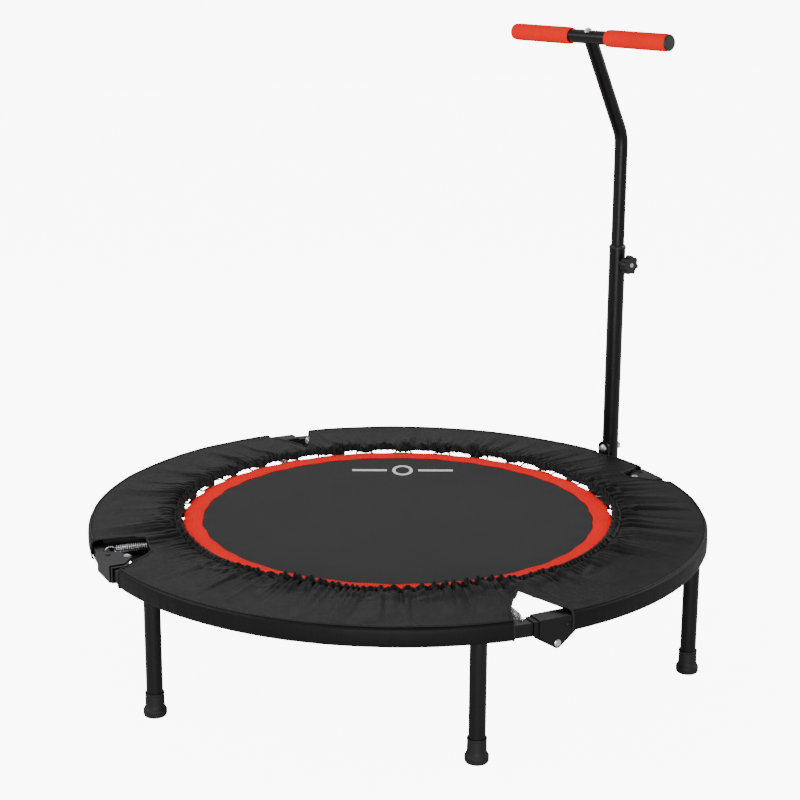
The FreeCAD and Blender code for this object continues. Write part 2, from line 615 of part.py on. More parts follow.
def build_lower_post():
    inside = "dim.post_radius - dim.post_wall"
    tube = turned_body("lower_post_tube", [
        (inside, "dim.post_bottom"), ("dim.post_radius", "dim.post_bottom"),
        ("dim.post_radius", "dim.post_top"), (inside, "dim.post_top")])
    tube.Placement = POST_SPOT
    across = "dim.post_radius * 2 + 10"
    back = -value("dim.post_radius") - 5
    holes = [("dim.bolt_radius", across, outward_spot(value("dim.upper_bolt_level"), back)),
             ("dim.bolt_radius", across, outward_spot(value("dim.lower_bolt_level"), back)),
             ("dim.screw_radius + 2 * dim.slide_clearance", "dim.post_radius",
              knob_spot(value("dim.post_radius / 2")))]
    keep(drill(tube, "lower_post", holes), "lower_post")
    plug = turned_body("post_plug_body", [
        ("0", "dim.post_bottom - 4"), ("dim.post_radius - 1", "dim.post_bottom - 4"),
        ("dim.post_radius", "dim.post_bottom - 3"), ("dim.post_radius", "dim.post_bottom"),
        (inside + " - dim.slide_clearance", "dim.post_bottom"),
        (inside + " - dim.slide_clearance", "dim.post_bottom + 15"),
        ("0", "dim.post_bottom + 15")])
    keep(plug, "post_plug", POST_SPOT)
    bore = "dim.bar_radius + dim.slide_clearance"
    bushing = turned_body("post_bushing_body", [
        (bore, "dim.post_top - dim.bushing_length"),
        (inside + " - dim.slide_clearance", "dim.post_top - dim.bushing_length"),
        (inside + " - dim.slide_clearance", "dim.post_top"),
        ("dim.bushing_flange_radius", "dim.post_top"),
        ("dim.bushing_flange_radius", "dim.post_top + dim.bushing_flange * 0.5"),
        ("dim.bushing_flange_radius - 2", "dim.post_top + dim.bushing_flange"),
        (bore, "dim.post_top + dim.bushing_flange")])
    keep(bushing, "post_bushing", POST_SPOT)


def build_bracket():
    """A flat bar welded to the outside of the ring; the post is bolted to it."""
    body = new_body("post_bracket_body")
    face = "dim.ring_radius + dim.tube_size / 2"
    sketch = new_sketch(body, "YZ_Plane", "bracket_outline", face)
    half = "dim.bracket_width / 2"
    outline(sketch, [("-" + half, "dim.bracket_bottom"), (half, "dim.bracket_bottom"),
                     (half, "dim.bracket_top - 5"), ("%s - 5" % half, "dim.bracket_top"),
                     ("5 - %s" % half, "dim.bracket_top"), ("-" + half, "dim.bracket_top - 5")])
    circle(sketch, "0", "dim.upper_bolt_level", "dim.bolt_radius")
    pad(body, sketch, "dim.bracket_thickness", "bracket_plate")
    keep(body, "post_bracket", POST)


def build_post_fasteners():
    """Profiles run along Z; zero is the bracket's inner face and the post is beyond it."""
    shank = "dim.post_circle_radius + dim.post_radius - dim.ring_radius - dim.tube_size / 2"
    end = shank + " + dim.nut_height + 3"
    bolt = turned_body("carriage_bolt", [
        ("0", "-dim.bolt_head"), ("dim.bolt_head_radius * 0.5", "-dim.bolt_head * 0.85"),
        ("dim.bolt_head_radius * 0.85", "-dim.bolt_head * 0.5"),
        ("dim.bolt_head_radius", "-dim.bolt_head * 0.15"), ("dim.bolt_head_radius", "0"),
        ("dim.bolt_radius", "0"), ("dim.bolt_radius", end), ("0", end)])
    inner_face = value("dim.ring_radius + dim.tube_size / 2")
    bolt_place = Placement(Vector(inner_face, 0, value("dim.upper_bolt_level")), OUTWARD)
    stud = turned_body("lower_stud", [
        ("0", "dim.bracket_thickness"), ("dim.bolt_radius", "dim.bracket_thickness"),
        ("dim.bolt_radius", end), ("0", end)])
    stud_place = Placement(Vector(inner_face, 0, value("dim.lower_bolt_level")), OUTWARD)
    group("post_bolts", [(bolt, POST.multiply(bolt_place)), (stud, POST.multiply(stud_place))])
    nut = new_body("post_nut")
    sketch = new_sketch(nut, "XY_Plane", "nut_section")
    hexagon = [(1, 0), (0.5, 0.866), (-0.5, 0.866), (-1, 0), (-0.5, -0.866), (0.5, -0.866)]
    corners = []
    for across, up in hexagon:
        corners.append(("%g * dim.nut_radius" % across if across else "0",
                        "%g * dim.nut_radius" % up if up else "0"))
    outline(sketch, corners)
    circle(sketch, "0", "0", "dim.bolt_radius")
    pad(nut, sketch, "dim.nut_height", "nut_pad")
    reach = value("dim.post_radius")
    copies(nut, "post_nuts", [outward_spot(value("dim.upper_bolt_level"), reach),
                              outward_spot(value("dim.lower_bolt_level"), reach)])


def build_knob():
    boss = new_body("knob_boss_body")
    ring = new_sketch(boss, "XY_Plane", "boss_ring", "dim.post_radius * 0.6")
    circle(ring, "0", "0", "dim.boss_radius")
    circle(ring, "0", "0", "dim.screw_radius + dim.pin_clearance")
    pad(boss, ring, "dim.boss_end - dim.post_radius * 0.6", "boss_pad")
    boss.Placement = knob_spot()
    post_core = doc.addObject("Part::Cylinder", "post_core")
    post_core.setExpression("Radius", "dim.post_radius")
    post_core.setExpression("Height", "dim.core_length")
    post_core.Placement = POST_SPOT.multiply(lift(value("dim.knob_level - dim.core_length / 2")))
    coped = doc.addObject("Part::Cut", "knob_boss")
    coped.Base = boss
    coped.Tool = post_core
    keep(coped, "knob_boss")

    knob = new_body("knob_body")
    disc = new_sketch(knob, "XY_Plane", "knob_disc", "dim.knob_start")
    circle(disc, "0", "0", "dim.knob_radius")
    circle(disc, "0", "0", "dim.screw_radius")
    pad(knob, disc, "dim.knob_thickness", "knob_pad")
    scallop = new_sketch(knob, "XY_Plane", "knob_scallop", "dim.knob_start")
    circle(scallop, "dim.knob_scallop_circle", "0", "dim.knob_scallop_radius")
    cut = pocket(knob, scallop, "knob_scallop_cut")
    doc.recompute()
    ring_of_cuts = knob.newObject("PartDesign::PolarPattern", "knob_scallops")
    ring_of_cuts.Originals = [cut]
    ring_of_cuts.Axis = (scallop, ["N_Axis"])
    ring_of_cuts.Angle = 360
    ring_of_cuts.Occurrences = int(value("dim.knob_lobes"))
    knob.Tip = ring_of_cuts
    keep(knob, "knob", knob_spot())
    end = "dim.knob_start + dim.knob_thickness + dim.screw_end"
    screw = turned_body("knob_screw_body", [
        ("0", "dim.screw_tip"), ("dim.screw_radius - 1", "dim.screw_tip"),
        ("dim.screw_radius", "dim.screw_tip + 1"), ("dim.screw_radius", end), ("0", end)])
    keep(screw, "knob_screw", knob_spot())


def build_upper_post():
    """A tube up the post's axis, bent towards the ring's centre to meet the crossbar."""
    tilt = value("dim.arm_tilt")
    lean = Rotation(Vector(0, 1, 0), -tilt)
    bend = value("dim.bend_radius")
    along = lean.multVec(UP)
    bend_start = Vector(0, 0, value("dim.bend_level"))
    hub = bend_start + Vector(-bend, 0, 0)
    bend_end = hub + lean.multVec(Vector(bend, 0, 0))
    bend_middle = hub + Rotation(Vector(0, 1, 0), -tilt / 2).multVec(Vector(bend, 0, 0))
    run = (value("dim.crossbar_circle_radius - dim.post_circle_radius") - bend_end.x) / along.x
    arm_end = bend_end + along * run
    body = new_body("upper_post_body")
    spine = new_sketch(body, "XZ_Plane", "upper_post_path")
    low = Vector(0, value("dim.upper_bottom"), 0)
    flat = [Vector(point.x, point.z, 0) for point in (bend_start, bend_middle, bend_end, arm_end)]
    spine.addGeometry(Part.LineSegment(low, flat[0]), False)
    spine.addGeometry(Part.Arc(flat[0], flat[1], flat[2]), False)
    spine.addGeometry(Part.LineSegment(flat[2], flat[3]), False)
    for n in range(3):
        spine.addConstraint(Sketcher.Constraint("Block", n))
    section = new_sketch(body, "XY_Plane", "upper_post_section", "dim.upper_bottom")
    circle(section, "0", "0", "dim.bar_radius")
    circle(section, "0", "0", "dim.bar_radius - dim.bar_wall")
    pipe = body.newObject("PartDesign::AdditivePipe", "upper_post_pipe")
    pipe.Profile = section
    pipe.Spine = spine
    pipe.Mode = "Frenet"
    body.Placement = POST_SPOT
    crossbar_spot = POST_SPOT.multiply(Placement(arm_end, Rotation(Vector(1, 0, 0), 90)))
    saddle = doc.addObject("Part::Cylinder", "crossbar_saddle")
    saddle.setExpression("Radius", "dim.bar_radius")
    saddle.setExpression("Height", "dim.saddle_length")
    saddle.Placement = crossbar_spot.multiply(lift(value("-dim.saddle_length / 2")))
    coped = doc.addObject("Part::Cut", "upper_post")
    coped.Base = body
    coped.Tool = saddle
    keep(coped, "upper_post")
    glide = turned_body("post_glide_body", [
        ("dim.bar_radius", "dim.upper_bottom"),
        ("dim.post_radius - dim.post_wall - dim.slide_clearance", "dim.upper_bottom"),
        ("dim.post_radius - dim.post_wall - dim.slide_clearance",
         "dim.upper_bottom + dim.glide_length"),
        ("dim.bar_radius", "dim.upper_bottom + dim.glide_length")])
    keep(glide, "post_glide", POST_SPOT)
    arm_spot = POST_SPOT.multiply(Placement(arm_end, lean))
    return crossbar_spot, arm_spot


def build_crossbar(crossbar_spot, arm_spot):
    half, inside = "dim.crossbar_half", "dim.bar_radius - dim.bar_wall"
    tube = turned_body("crossbar_tube", [(inside, "-" + half), ("dim.bar_radius", "-" + half),
                                         ("dim.bar_radius", half), (inside, half)])
    tube.Placement = crossbar_spot
    drill_start = arm_spot.multiply(lift(value("-dim.arm_hole_length / 2")))
    keep(drill(tube, "crossbar", [("dim.arm_bolt_radius", "dim.arm_hole_length", drill_start)]),
         "crossbar")
    top = "dim.bar_radius + dim.slide_clearance"
    bolt = turned_body("crossbar_bolt_body", [
        ("0", "-dim.arm_insert_gap - dim.arm_insert_length"),
        ("dim.arm_bolt_radius", "-dim.arm_insert_gap - dim.arm_insert_length"),
        ("dim.arm_bolt_radius", top), ("dim.arm_bolt_head_radius", top),
        ("dim.arm_bolt_head_radius", top + " + dim.arm_bolt_head * 0.4"),
        ("dim.arm_bolt_head_radius * 0.6", top + " + dim.arm_bolt_head"),
        ("0", top + " + dim.arm_bolt_head")])
    keep(bolt, "crossbar_bolt", arm_spot)
    insert = turned_body("arm_insert_body", [
        ("dim.arm_bolt_radius", "-dim.arm_insert_gap - dim.arm_insert_length"),
        (inside, "-dim.arm_insert_gap - dim.arm_insert_length"),
        (inside, "-dim.arm_insert_gap"), ("dim.arm_bolt_radius", "-dim.arm_insert_gap")])
    keep(insert, "arm_insert", arm_spot)
    for name, turn in (("left", 0), ("right", 180)):
        side = crossbar_spot.multiply(Placement(Vector(), Rotation(Vector(1, 0, 0), turn)))
        grip = turned_body("grip_body_" + name, [
            ("dim.bar_radius", "dim.grip_start"),
            ("dim.grip_radius - dim.grip_edge", "dim.grip_start"),
            ("dim.grip_radius", "dim.grip_start + dim.grip_edge"),
            ("dim.grip_radius", "dim.grip_end"),
            ("dim.bar_radius", "dim.grip_end")])
        keep(grip, "grip_" + name, side)
        cap = turned_body("grip_cap_body_" + name, [
            ("0", half + " - dim.cap_plug_length"),
            (inside + " - dim.slide_clearance", half + " - dim.cap_plug_length"),
            (inside + " - dim.slide_clearance", half), ("dim.cap_radius", half),
            ("dim.cap_radius", half + " + dim.cap_thickness * 0.5"),
            ("dim.cap_radius - 1", half + " + dim.cap_thickness"),
            ("0", half + " + dim.cap_thickness")])
        keep(cap, "grip_cap_" + name, side)


for quarter, (middle, first_end, second_end) in QUARTERS.items():
    build_quarter(quarter, middle, (first_end, second_end))
build_hinges()
build_legs()
build_suspension()
build_soft_parts()
build_lower_post()
build_bracket()
build_post_fasteners()
build_knob()
build_crossbar(*build_upper_post())
doc.recompute()

# ---- checks, then one STEP file for each sub-part ----
for item in doc.Objects:
    if "Invalid" in item.State or "Error" in item.State:
        raise RuntimeError("%s did not build: %s" % (item.Name, item.State))
labels = [item.Label for item in nodes]
if len(set(labels)) != len(labels):
    raise RuntimeError("two sub-parts share a name")
for item in nodes:
    shape = item.Shape
    if shape.isNull() or not shape.isValid() or shape.Volume <= 0:
        raise RuntimeError("%s has no sound solid" % item.Label)
    shape.exportStep("parts/%s.step" % item.Label)
    print("%-28s solids %2d  volume %9.0f" % (item.Label, len(shape.Solids), shape.Volume))
print(len(nodes), "sub-parts")
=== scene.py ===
import math

import bmesh
import bpy
import numpy as np
from mathutils import Matrix, Vector


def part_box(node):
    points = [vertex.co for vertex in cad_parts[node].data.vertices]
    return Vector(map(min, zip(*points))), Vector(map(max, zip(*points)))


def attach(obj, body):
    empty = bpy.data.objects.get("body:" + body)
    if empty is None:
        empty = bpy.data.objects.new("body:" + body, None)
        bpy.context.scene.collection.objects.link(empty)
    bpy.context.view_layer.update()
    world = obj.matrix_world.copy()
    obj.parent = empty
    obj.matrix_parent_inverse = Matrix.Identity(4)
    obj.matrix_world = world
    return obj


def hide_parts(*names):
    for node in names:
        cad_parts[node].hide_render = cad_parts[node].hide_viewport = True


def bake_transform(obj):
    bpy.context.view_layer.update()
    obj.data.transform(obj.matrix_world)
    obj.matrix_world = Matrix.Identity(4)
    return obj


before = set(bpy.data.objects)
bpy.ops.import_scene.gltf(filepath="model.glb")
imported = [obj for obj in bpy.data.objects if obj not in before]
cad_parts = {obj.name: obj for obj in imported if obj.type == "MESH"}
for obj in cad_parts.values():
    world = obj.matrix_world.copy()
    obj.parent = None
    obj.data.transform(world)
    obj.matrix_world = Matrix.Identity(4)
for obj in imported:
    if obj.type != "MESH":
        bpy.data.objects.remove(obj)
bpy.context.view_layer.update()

# ---------------------------------------------------------------- sizes, in metres
RING_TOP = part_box("frame_tube_front_right")[1][2]
MAT_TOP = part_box("mat_a")[1][2]
MAT_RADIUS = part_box("mat_band_a")[1][0]        # out to the band's outer edge
BAND_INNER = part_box("mat_a")[1][0]
BAND_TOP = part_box("mat_band_a")[1][2]
RING_LEVEL = (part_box("mat_rings_a")[0][2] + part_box("mat_rings_a")[1][2]) / 2
VRING_BASE = MAT_RADIUS + 0.005                # the ring's straight side, just off the mat
SPRINGS = 32
PITCH = 2 * math.pi / SPRINGS
DEGREE = math.pi / 180
COLUMNS = 2160                                 # round the cover
CASING = 0.3605                                # radius of the elastic casing's inner side
CASING_LEVEL = 0.2162
CASING_END = CASING + 0.0085                   # where the casing ends and the open cloth starts
SEAM_LEVEL = 0.2198                            # height of the casing's outer seam
FRILL_FLOOR = BAND_TOP + 0.0012                # the cover's inner edge stays above this
OVERHANG = 0.0105                              # most that the cover's opening shifts inwards
MAT_SAG = 0.0008                               # at the mat's centre
MAT_THICK = 0.0009                             # of the mat and of the band


# ---------------------------------------------------------------- small helpers
def new_piece(name, vertices, faces, material, smooth=True):
    mesh = bpy.data.meshes.new(name)
    mesh.from_pydata([tuple(v) for v in vertices], [], [tuple(f) for f in faces])
    mesh.materials.append(material)
    if smooth:
        mesh.shade_smooth()
    mesh.update()
    piece = bpy.data.objects.new(name, mesh)
    bpy.context.scene.collection.objects.link(piece)
    return piece


def across_fold(piece):
    """Bakes a piece's placement into its mesh."""
    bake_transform(piece)


def on_body(piece, body):
    """Fixes a piece to one body."""
    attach(piece, body)


def thicken(piece, depth):
    """Gives a single layer of cloth its thickness, behind its faces."""
    layer = piece.modifiers.new("thickness", "SOLIDIFY")
    layer.thickness = depth
    layer.offset = -1


def polar(radius, azimuth, height=0.0):
    return Vector((radius * math.cos(azimuth), radius * math.sin(azimuth), height))


def periodic_noise(angles, cells, seed):
    """Smooth noise from -1 to 1 round a circle, the same on every run."""
    values = np.random.default_rng(seed).uniform(-1, 1, cells)
    place = np.asarray(angles) / (2 * math.pi) * cells
    low = np.floor(place).astype(int)
    part = place - low
    part = part * part * (3 - 2 * part)
    return values[low % cells] * (1 - part) + values[(low + 1) % cells] * part


def tube_faces(rows, sides, closed=False):
    """Quads between rows of points that go round a tube; closed joins the last to the first."""
    faces = []
    for n in range(rows if closed else rows - 1):
        here, there = n * sides, (n + 1) % rows * sides
        for k in range(sides):
            after = (k + 1) % sides
            faces.append((here + k, here + after, there + after, there + k))
    return faces


def ring_faces(rows, columns, base=0):
    """Quads between neighbouring rows of points that close round the ring, facing up."""
    faces = []
    for n in range(rows):
        low = base + n * columns
        for k in range(columns):
            after = (k + 1) % columns
            faces.append((low + k, low + columns + k, low + columns + after, low + after))
    return faces


def strip_faces(columns, rows):
    """Quads of an open grid of points that is stored column by column."""
    return [(low, low + 1, low + rows + 1, low + rows)
            for c in range(columns - 1) for low in range(c * rows, (c + 1) * rows - 1)]


def sweep(points, radius, sides=8, closed=False):
    """Vertices and faces of a round wire along points; the ends are capped."""
    points = np.asarray(points, float)
    count = len(points)
    if closed:
        ahead, behind = np.roll(points, -1, axis=0), np.roll(points, 1, axis=0)
    else:
        ahead = np.vstack([points[1:], 2 * points[-1] - points[-2]])
        behind = np.vstack([2 * points[0] - points[1], points[:-1]])
    tangents = ahead - behind
    tangents /= np.linalg.norm(tangents, axis=1)[:, None]
    start = np.cross(tangents[0], (0.0, 0.0, 1.0))
    if np.linalg.norm(start) < 0.1:
        start = np.cross(tangents[0], (1.0, 0.0, 0.0))
    normal = start / np.linalg.norm(start)
    rings = []
    for n in range(count):
        normal = normal - tangents[n] * np.dot(normal, tangents[n])
        normal /= np.linalg.norm(normal)
        binormal = np.cross(tangents[n], normal)
        angles = np.arange(sides) * 2 * math.pi / sides
        size = radius[n] if np.ndim(radius) else radius
        rings.append(points[n] + size * (np.cos(angles)[:, None] * normal
                                         + np.sin(angles)[:, None] * binormal))
    vertices = np.vstack(rings)
    faces = tube_faces(count, sides, closed)
    if not closed:
        faces.append(tuple(range(sides))[::-1])
        faces.append(tuple((count - 1) * sides + k for k in range(sides)))
    return vertices, faces


def join(parts):
    """Several (vertices, faces) lists as one."""
    vertices, faces, base = [], [], 0
    for part_vertices, part_faces in parts:
        vertices.append(np.asarray(part_vertices, float))
        faces.extend(tuple(index + base for index in face) for face in part_faces)
        base += len(part_vertices)
    return np.vstack(vertices), faces


def turned(part, angle):
    """A copy of (vertices, faces) turned about the ring's centre."""
    vertices, faces = part
    c, s = math.cos(angle), math.sin(angle)
    turn = np.array([[c, s, 0], [-s, c, 0], [0, 0, 1]])
    return np.asarray(vertices) @ turn, faces


def lathe(profile, segments):
    """A closed turned solid about Z from (radius, height) points, both ends on the axis."""
    rings = [point for point in profile if point[0] > 1e-6]
    vertices = []
    for radius, height in rings:
        for k in range(segments):
            angle = 2 * math.pi * k / segments
            vertices.append((radius * math.cos(angle), radius * math.sin(angle), height))
    faces = tube_faces(len(rings), segments)
    vertices.append((0, 0, profile[0][1]))
    vertices.append((0, 0, profile[-1][1]))
    first, last = len(vertices) - 2, len(vertices) - 1
    top = (len(rings) - 1) * segments
    for k in range(segments):
        after = (k + 1) % segments
        faces.append((first, after, k))
        faces.append((last, top + k, top + after))
    return np.array(vertices), faces


def corner_arc(before, here, after, reach, steps):
    """Points of a curve that cuts a corner, from reach before it to reach after it."""
    into, out = before - here, after - here
    start = here + into / np.linalg.norm(into) * reach
    end = here + out / np.linalg.norm(out) * reach
    shares = [k / steps for k in range(steps + 1)]
    return [start * (1 - t) ** 2 + here * 2 * t * (1 - t) + end * t * t for t in shares]


def rounded(corners, radius, steps=6):
    """An open (radius, height) profile with each inner corner rounded by an arc."""
    result = [corners[0]]
    for n in range(1, len(corners) - 1):
        before, here, after = (np.array(corners[k], float) for k in (n - 1, n, n + 1))
        shorter = min(np.linalg.norm(before - here), np.linalg.norm(after - here))
        reach = min(radius, shorter * 0.45)
        result.extend(tuple(point) for point in corner_arc(before, here, after, reach, steps))
    result.append(corners[-1])
    return result


# ---------------------------------------------------------------- materials
class Shader:
    """A Principled material with short calls for the nodes used here."""

    def __init__(self, name, color, roughness, metallic=0.0):
        self.material = bpy.data.materials.new(name)
        self.material.use_nodes = True
        self.tree = self.material.node_tree
        self.shader = self.tree.nodes["Principled BSDF"]
        self.shader.inputs["Base Color"].default_value = (*color, 1)
        self.shader.inputs["Roughness"].default_value = roughness
        self.shader.inputs["Metallic"].default_value = metallic
        self.where = self.tree.nodes.new("ShaderNodeTexCoord").outputs["Object"]

    def set(self, **values):
        for name, number in values.items():
            socket = self.shader.inputs[name.replace("_", " ")]
            socket.default_value = number
        return self

    def glow(self, color, strength):
        """Emission in the colour: painted light that makes the part glow though it is no lamp, to
        keep a vivid red vivid.
        """
        self.shader.inputs["Emission Color"].default_value = (*color, 1)
        self.shader.inputs["Emission Strength"].default_value = strength
        return self

    def link(self, output, target):
        self.tree.links.new(output, target)

    def mapping(self, scale):
        node = self.tree.nodes.new("ShaderNodeMapping")
        node.inputs["Scale"].default_value = scale
        self.link(self.where, node.inputs["Vector"])
        return node.outputs["Vector"]

    def noise(self, scale, detail=3.0, stretch=(1, 1, 1), roughness=0.55):
        node = self.tree.nodes.new("ShaderNodeTexNoise")
        node.inputs["Scale"].default_value = scale
        node.inputs["Detail"].default_value = detail
        node.inputs["Roughness"].default_value = roughness
        self.link(self.mapping(stretch), node.inputs["Vector"])
        return node.outputs["Fac"]

    def cells(self, scale):
        node = self.tree.nodes.new("ShaderNodeTexVoronoi")
        node.inputs["Scale"].default_value = scale
        self.link(self.where, node.inputs["Vector"])
        return node.outputs["Distance"]

    def math(self, operation, first, second=None):
        node = self.tree.nodes.new("ShaderNodeMath")
        node.operation = operation
        for socket, item in zip(node.inputs, (first, second)):
            if item is None:
                continue
            if isinstance(item, (int, float)):
                socket.default_value = item
            else:
                self.link(item, socket)
        return node.outputs[0]

    def axes(self):
        """The X and Y of a place on the object."""
        split = self.tree.nodes.new("ShaderNodeSeparateXYZ")
        self.link(self.where, split.inputs[0])
        return split.outputs["X"], split.outputs["Y"]

    def weave(self, thread):
        """A plain weave in the XY plane with threads this far apart, in metres."""
        x, y = self.axes()
        step = math.pi / thread
        across = self.math("SINE", self.math("MULTIPLY", x, step))
        along = self.math("SINE", self.math("MULTIPLY", y, step))
        return self.math("MULTIPLY", across, along)

    def around_ring(self, count):
        """A wave that repeats count times round the ring."""
        x, y = self.axes()
        angle = self.math("ARCTAN2", y, x)
        return self.math("SINE", self.math("MULTIPLY", angle, float(count)))

    def out_from_centre(self, spacing):
        """A wave that repeats every spacing metres outwards from the ring's centre."""
        x, y = self.axes()
        square = self.math("ADD", self.math("POWER", x, 2.0), self.math("POWER", y, 2.0))
        return self.math("SINE", self.math("MULTIPLY", self.math("SQRT", square),
                                           2 * math.pi / spacing))

    def ramp(self, factor, low, high, start=0.3, end=0.7):
        """Blends two colours by a factor, into the base colour."""
        node = self.tree.nodes.new("ShaderNodeValToRGB")
        node.color_ramp.elements[0].position = start
        node.color_ramp.elements[0].color = (*low, 1)
        node.color_ramp.elements[1].position = end
        node.color_ramp.elements[1].color = (*high, 1)
        self.link(factor, node.inputs["Fac"])
        self.link(node.outputs["Color"], self.shader.inputs["Base Color"])
        return self

    def rough(self, factor, low, high):
        node = self.tree.nodes.new("ShaderNodeMapRange")
        node.inputs["To Min"].default_value = low
        node.inputs["To Max"].default_value = high
        self.link(factor, node.inputs["Value"])
        self.link(node.outputs["Result"], self.shader.inputs["Roughness"])
        return self

    def bump(self, *layers):
        """Layers of (height, strength, depth in metres), one over the other."""
        last = None
        for height, strength, depth in layers:
            node = self.tree.nodes.new("ShaderNodeBump")
            node.inputs["Strength"].default_value = strength
            node.inputs["Distance"].default_value = depth
            self.link(height, node.inputs["Height"])
            if last is not None:
                self.link(last, node.inputs["Normal"])
            last = node.outputs["Normal"]
        self.link(last, self.shader.inputs["Normal"])
        return self.material


def powder_coat(name, tone, roughness, grain):
    """Satin black powder coat: fine orange peel, slightly uneven sheen."""
    coat = Shader(name, (tone, tone, tone * 1.03), roughness)
    coat.set(Specular_IOR_Level=0.3)
    peel = coat.noise(grain, 2.0)
    coat.ramp(coat.noise(9.0, 4.0), (tone * 0.8,) * 3, (tone * 1.25,) * 3)
    coat.rough(coat.noise(24.0, 4.0), roughness - 0.06, roughness + 0.08)
    return coat.bump((peel, 0.25, 0.0002))


def zinc_plate(name, tone, roughness):
    """Bright zinc plate with faint brushing and a cool-warm drift."""
    zinc = Shader(name, (tone, tone, tone), roughness, metallic=1.0)
    zinc.ramp(zinc.noise(60.0, 4.0), (tone * 0.82, tone * 0.84, tone * 0.9),
              (tone, tone * 0.99, tone * 0.95))
    zinc.rough(zinc.noise(240.0, 3.0, (1, 1, 8)), roughness - 0.08, roughness + 0.1)
    return zinc.bump((zinc.noise(900.0, 2.0), 0.15, 0.0001))


def moulded(name, color, roughness, grain=700.0):
    """Moulded black plastic or rubber with a fine spark-eroded grain."""
    skin = Shader(name, color, roughness)
    low = tuple(c * 0.8 for c in color)
    high = tuple(c * 1.2 for c in color)
    skin.ramp(skin.noise(18.0, 4.0), low, high)
    skin.rough(skin.noise(50.0, 3.0), roughness - 0.07, roughness + 0.07)
    return skin.bump((skin.noise(grain, 2.0), 0.3, 0.0002))


def mat_weave():
    """Fine woven polypropylene: a dark grey cross weave with a soft sheen."""
    cloth = Shader("mat_weave", (0.022, 0.022, 0.0225), 0.75)
    cloth.set(Sheen_Weight=0.06, Sheen_Roughness=0.5, Specular_IOR_Level=0.16)
    weave = cloth.weave(0.0011)
    mixed = cloth.math("ADD", cloth.math("MULTIPLY", weave, 0.3), cloth.noise(5.0, 4.0))
    cloth.ramp(mixed, (0.018, 0.018, 0.0185), (0.026, 0.026, 0.0265), 0.1, 0.9)
    return cloth.bump((weave, 0.35, 0.0002), (cloth.noise(300.0, 3.0), 0.15, 0.0002))


def band_weave():
    """Bright red edge webbing: ribs round the band and fine threads across it."""
    cloth = Shader("band_weave", (1.0, 0.006, 0.003), 0.7)
    cloth.set(Specular_IOR_Level=0.06)
    # Painted light: a red emission makes the band glow though it is no lamp.
    cloth.glow((1.0, 0.0, 0.0), 0.35)
    ribs = cloth.out_from_centre(0.0026)
    threads = cloth.around_ring(1400)
    fade = cloth.math("ADD", cloth.math("MULTIPLY", ribs, 0.12), cloth.noise(14.0, 4.0))
    cloth.ramp(fade, (0.80, 0.001, 0.001), (1.0, 0.006, 0.006), 0.2, 0.85)
    return cloth.bump((ribs, 0.4, 0.0003), (threads, 0.2, 0.0002),
                      (cloth.noise(500.0, 3.0), 0.2, 0.0002))


def cover_cloth(name, low, high, roughness=0.62):
    """Black coated oxford cloth: a tight weave, faint creases and a soft sheen."""
    cloth = Shader(name, (low, low, low), roughness)
    cloth.set(Specular_IOR_Level=0.2)
    weave = cloth.weave(0.0007)
    creases = cloth.noise(34.0, 6.0, roughness=0.6)
    cloth.ramp(cloth.noise(7.0, 5.0), (low, low, low * 1.02), (high, high, high * 1.03))
    cloth.rough(creases, roughness - 0.08, roughness + 0.1)
    return cloth.bump((creases, 0.35, 0.0016), (weave, 0.3, 0.00015))


def foam_skin():
    """Orange-red closed-cell foam: fine pores and small tone patches."""
    foam = Shader("foam_skin", (1.0, 0.016, 0.002), 0.72)
    foam.set(Specular_IOR_Level=0.1)
    # Painted light: a red emission makes the foam glow though it is no lamp.
    foam.glow((1.0, 0.0, 0.0), 0.25)
    foam.ramp(foam.noise(26.0, 5.0), (0.92, 0.004, 0.001), (1.0, 0.010, 0.002))
    return foam.bump((foam.cells(1500.0), 0.12, 0.0002), (foam.noise(420.0, 3.0), 0.12, 0.0002))


def spun_thread(name, low, high):
    """Sewing thread with a slight twist shading."""
    thread = Shader(name, high, 0.6)
    thread.set(Sheen_Weight=0.2)
    thread.ramp(thread.noise(900.0, 2.0), low, high)
    return thread.bump((thread.noise(2600.0, 2.0), 0.3, 0.0001))


def printed_ink():
    """White screen-print ink, thin enough for the weave to show."""
    ink = Shader("printed_ink", (0.8, 0.8, 0.8), 0.55)
    ink.ramp(ink.noise(260.0, 4.0), (0.8, 0.8, 0.8), (1.0, 1.0, 1.0), 0.25, 0.5)
    return ink.bump((ink.weave(0.0011), 0.35, 0.0002))


FRAME_COAT = powder_coat("frame_coat", 0.006, 0.38, 900.0)
POST_COAT = powder_coat("post_coat", 0.005, 0.34, 1100.0)
HINGE_COAT = powder_coat("hinge_coat", 0.005, 0.42, 800.0)
ZINC = zinc_plate("zinc", 0.86, 0.3)
SPRING_STEEL = zinc_plate("spring_steel", 0.8, 0.24)
RUBBER = moulded("foot_rubber", (0.009, 0.009, 0.0095), 0.6)
PLASTIC = moulded("black_plastic", (0.010, 0.010, 0.0105), 0.45, 900.0)
MAT = mat_weave()
BAND = band_weave()
COVER = cover_cloth("cover_cloth", 0.0036, 0.0060, 0.5)
BINDING = cover_cloth("binding_cloth", 0.016, 0.026, 0.45)
TABS = cover_cloth("tab_webbing", 0.006, 0.010, 0.7)
FOAM = foam_skin()
RED_THREAD = spun_thread("red_thread", (0.42, 0.008, 0.005), (0.6, 0.014, 0.008))
INK = printed_ink()

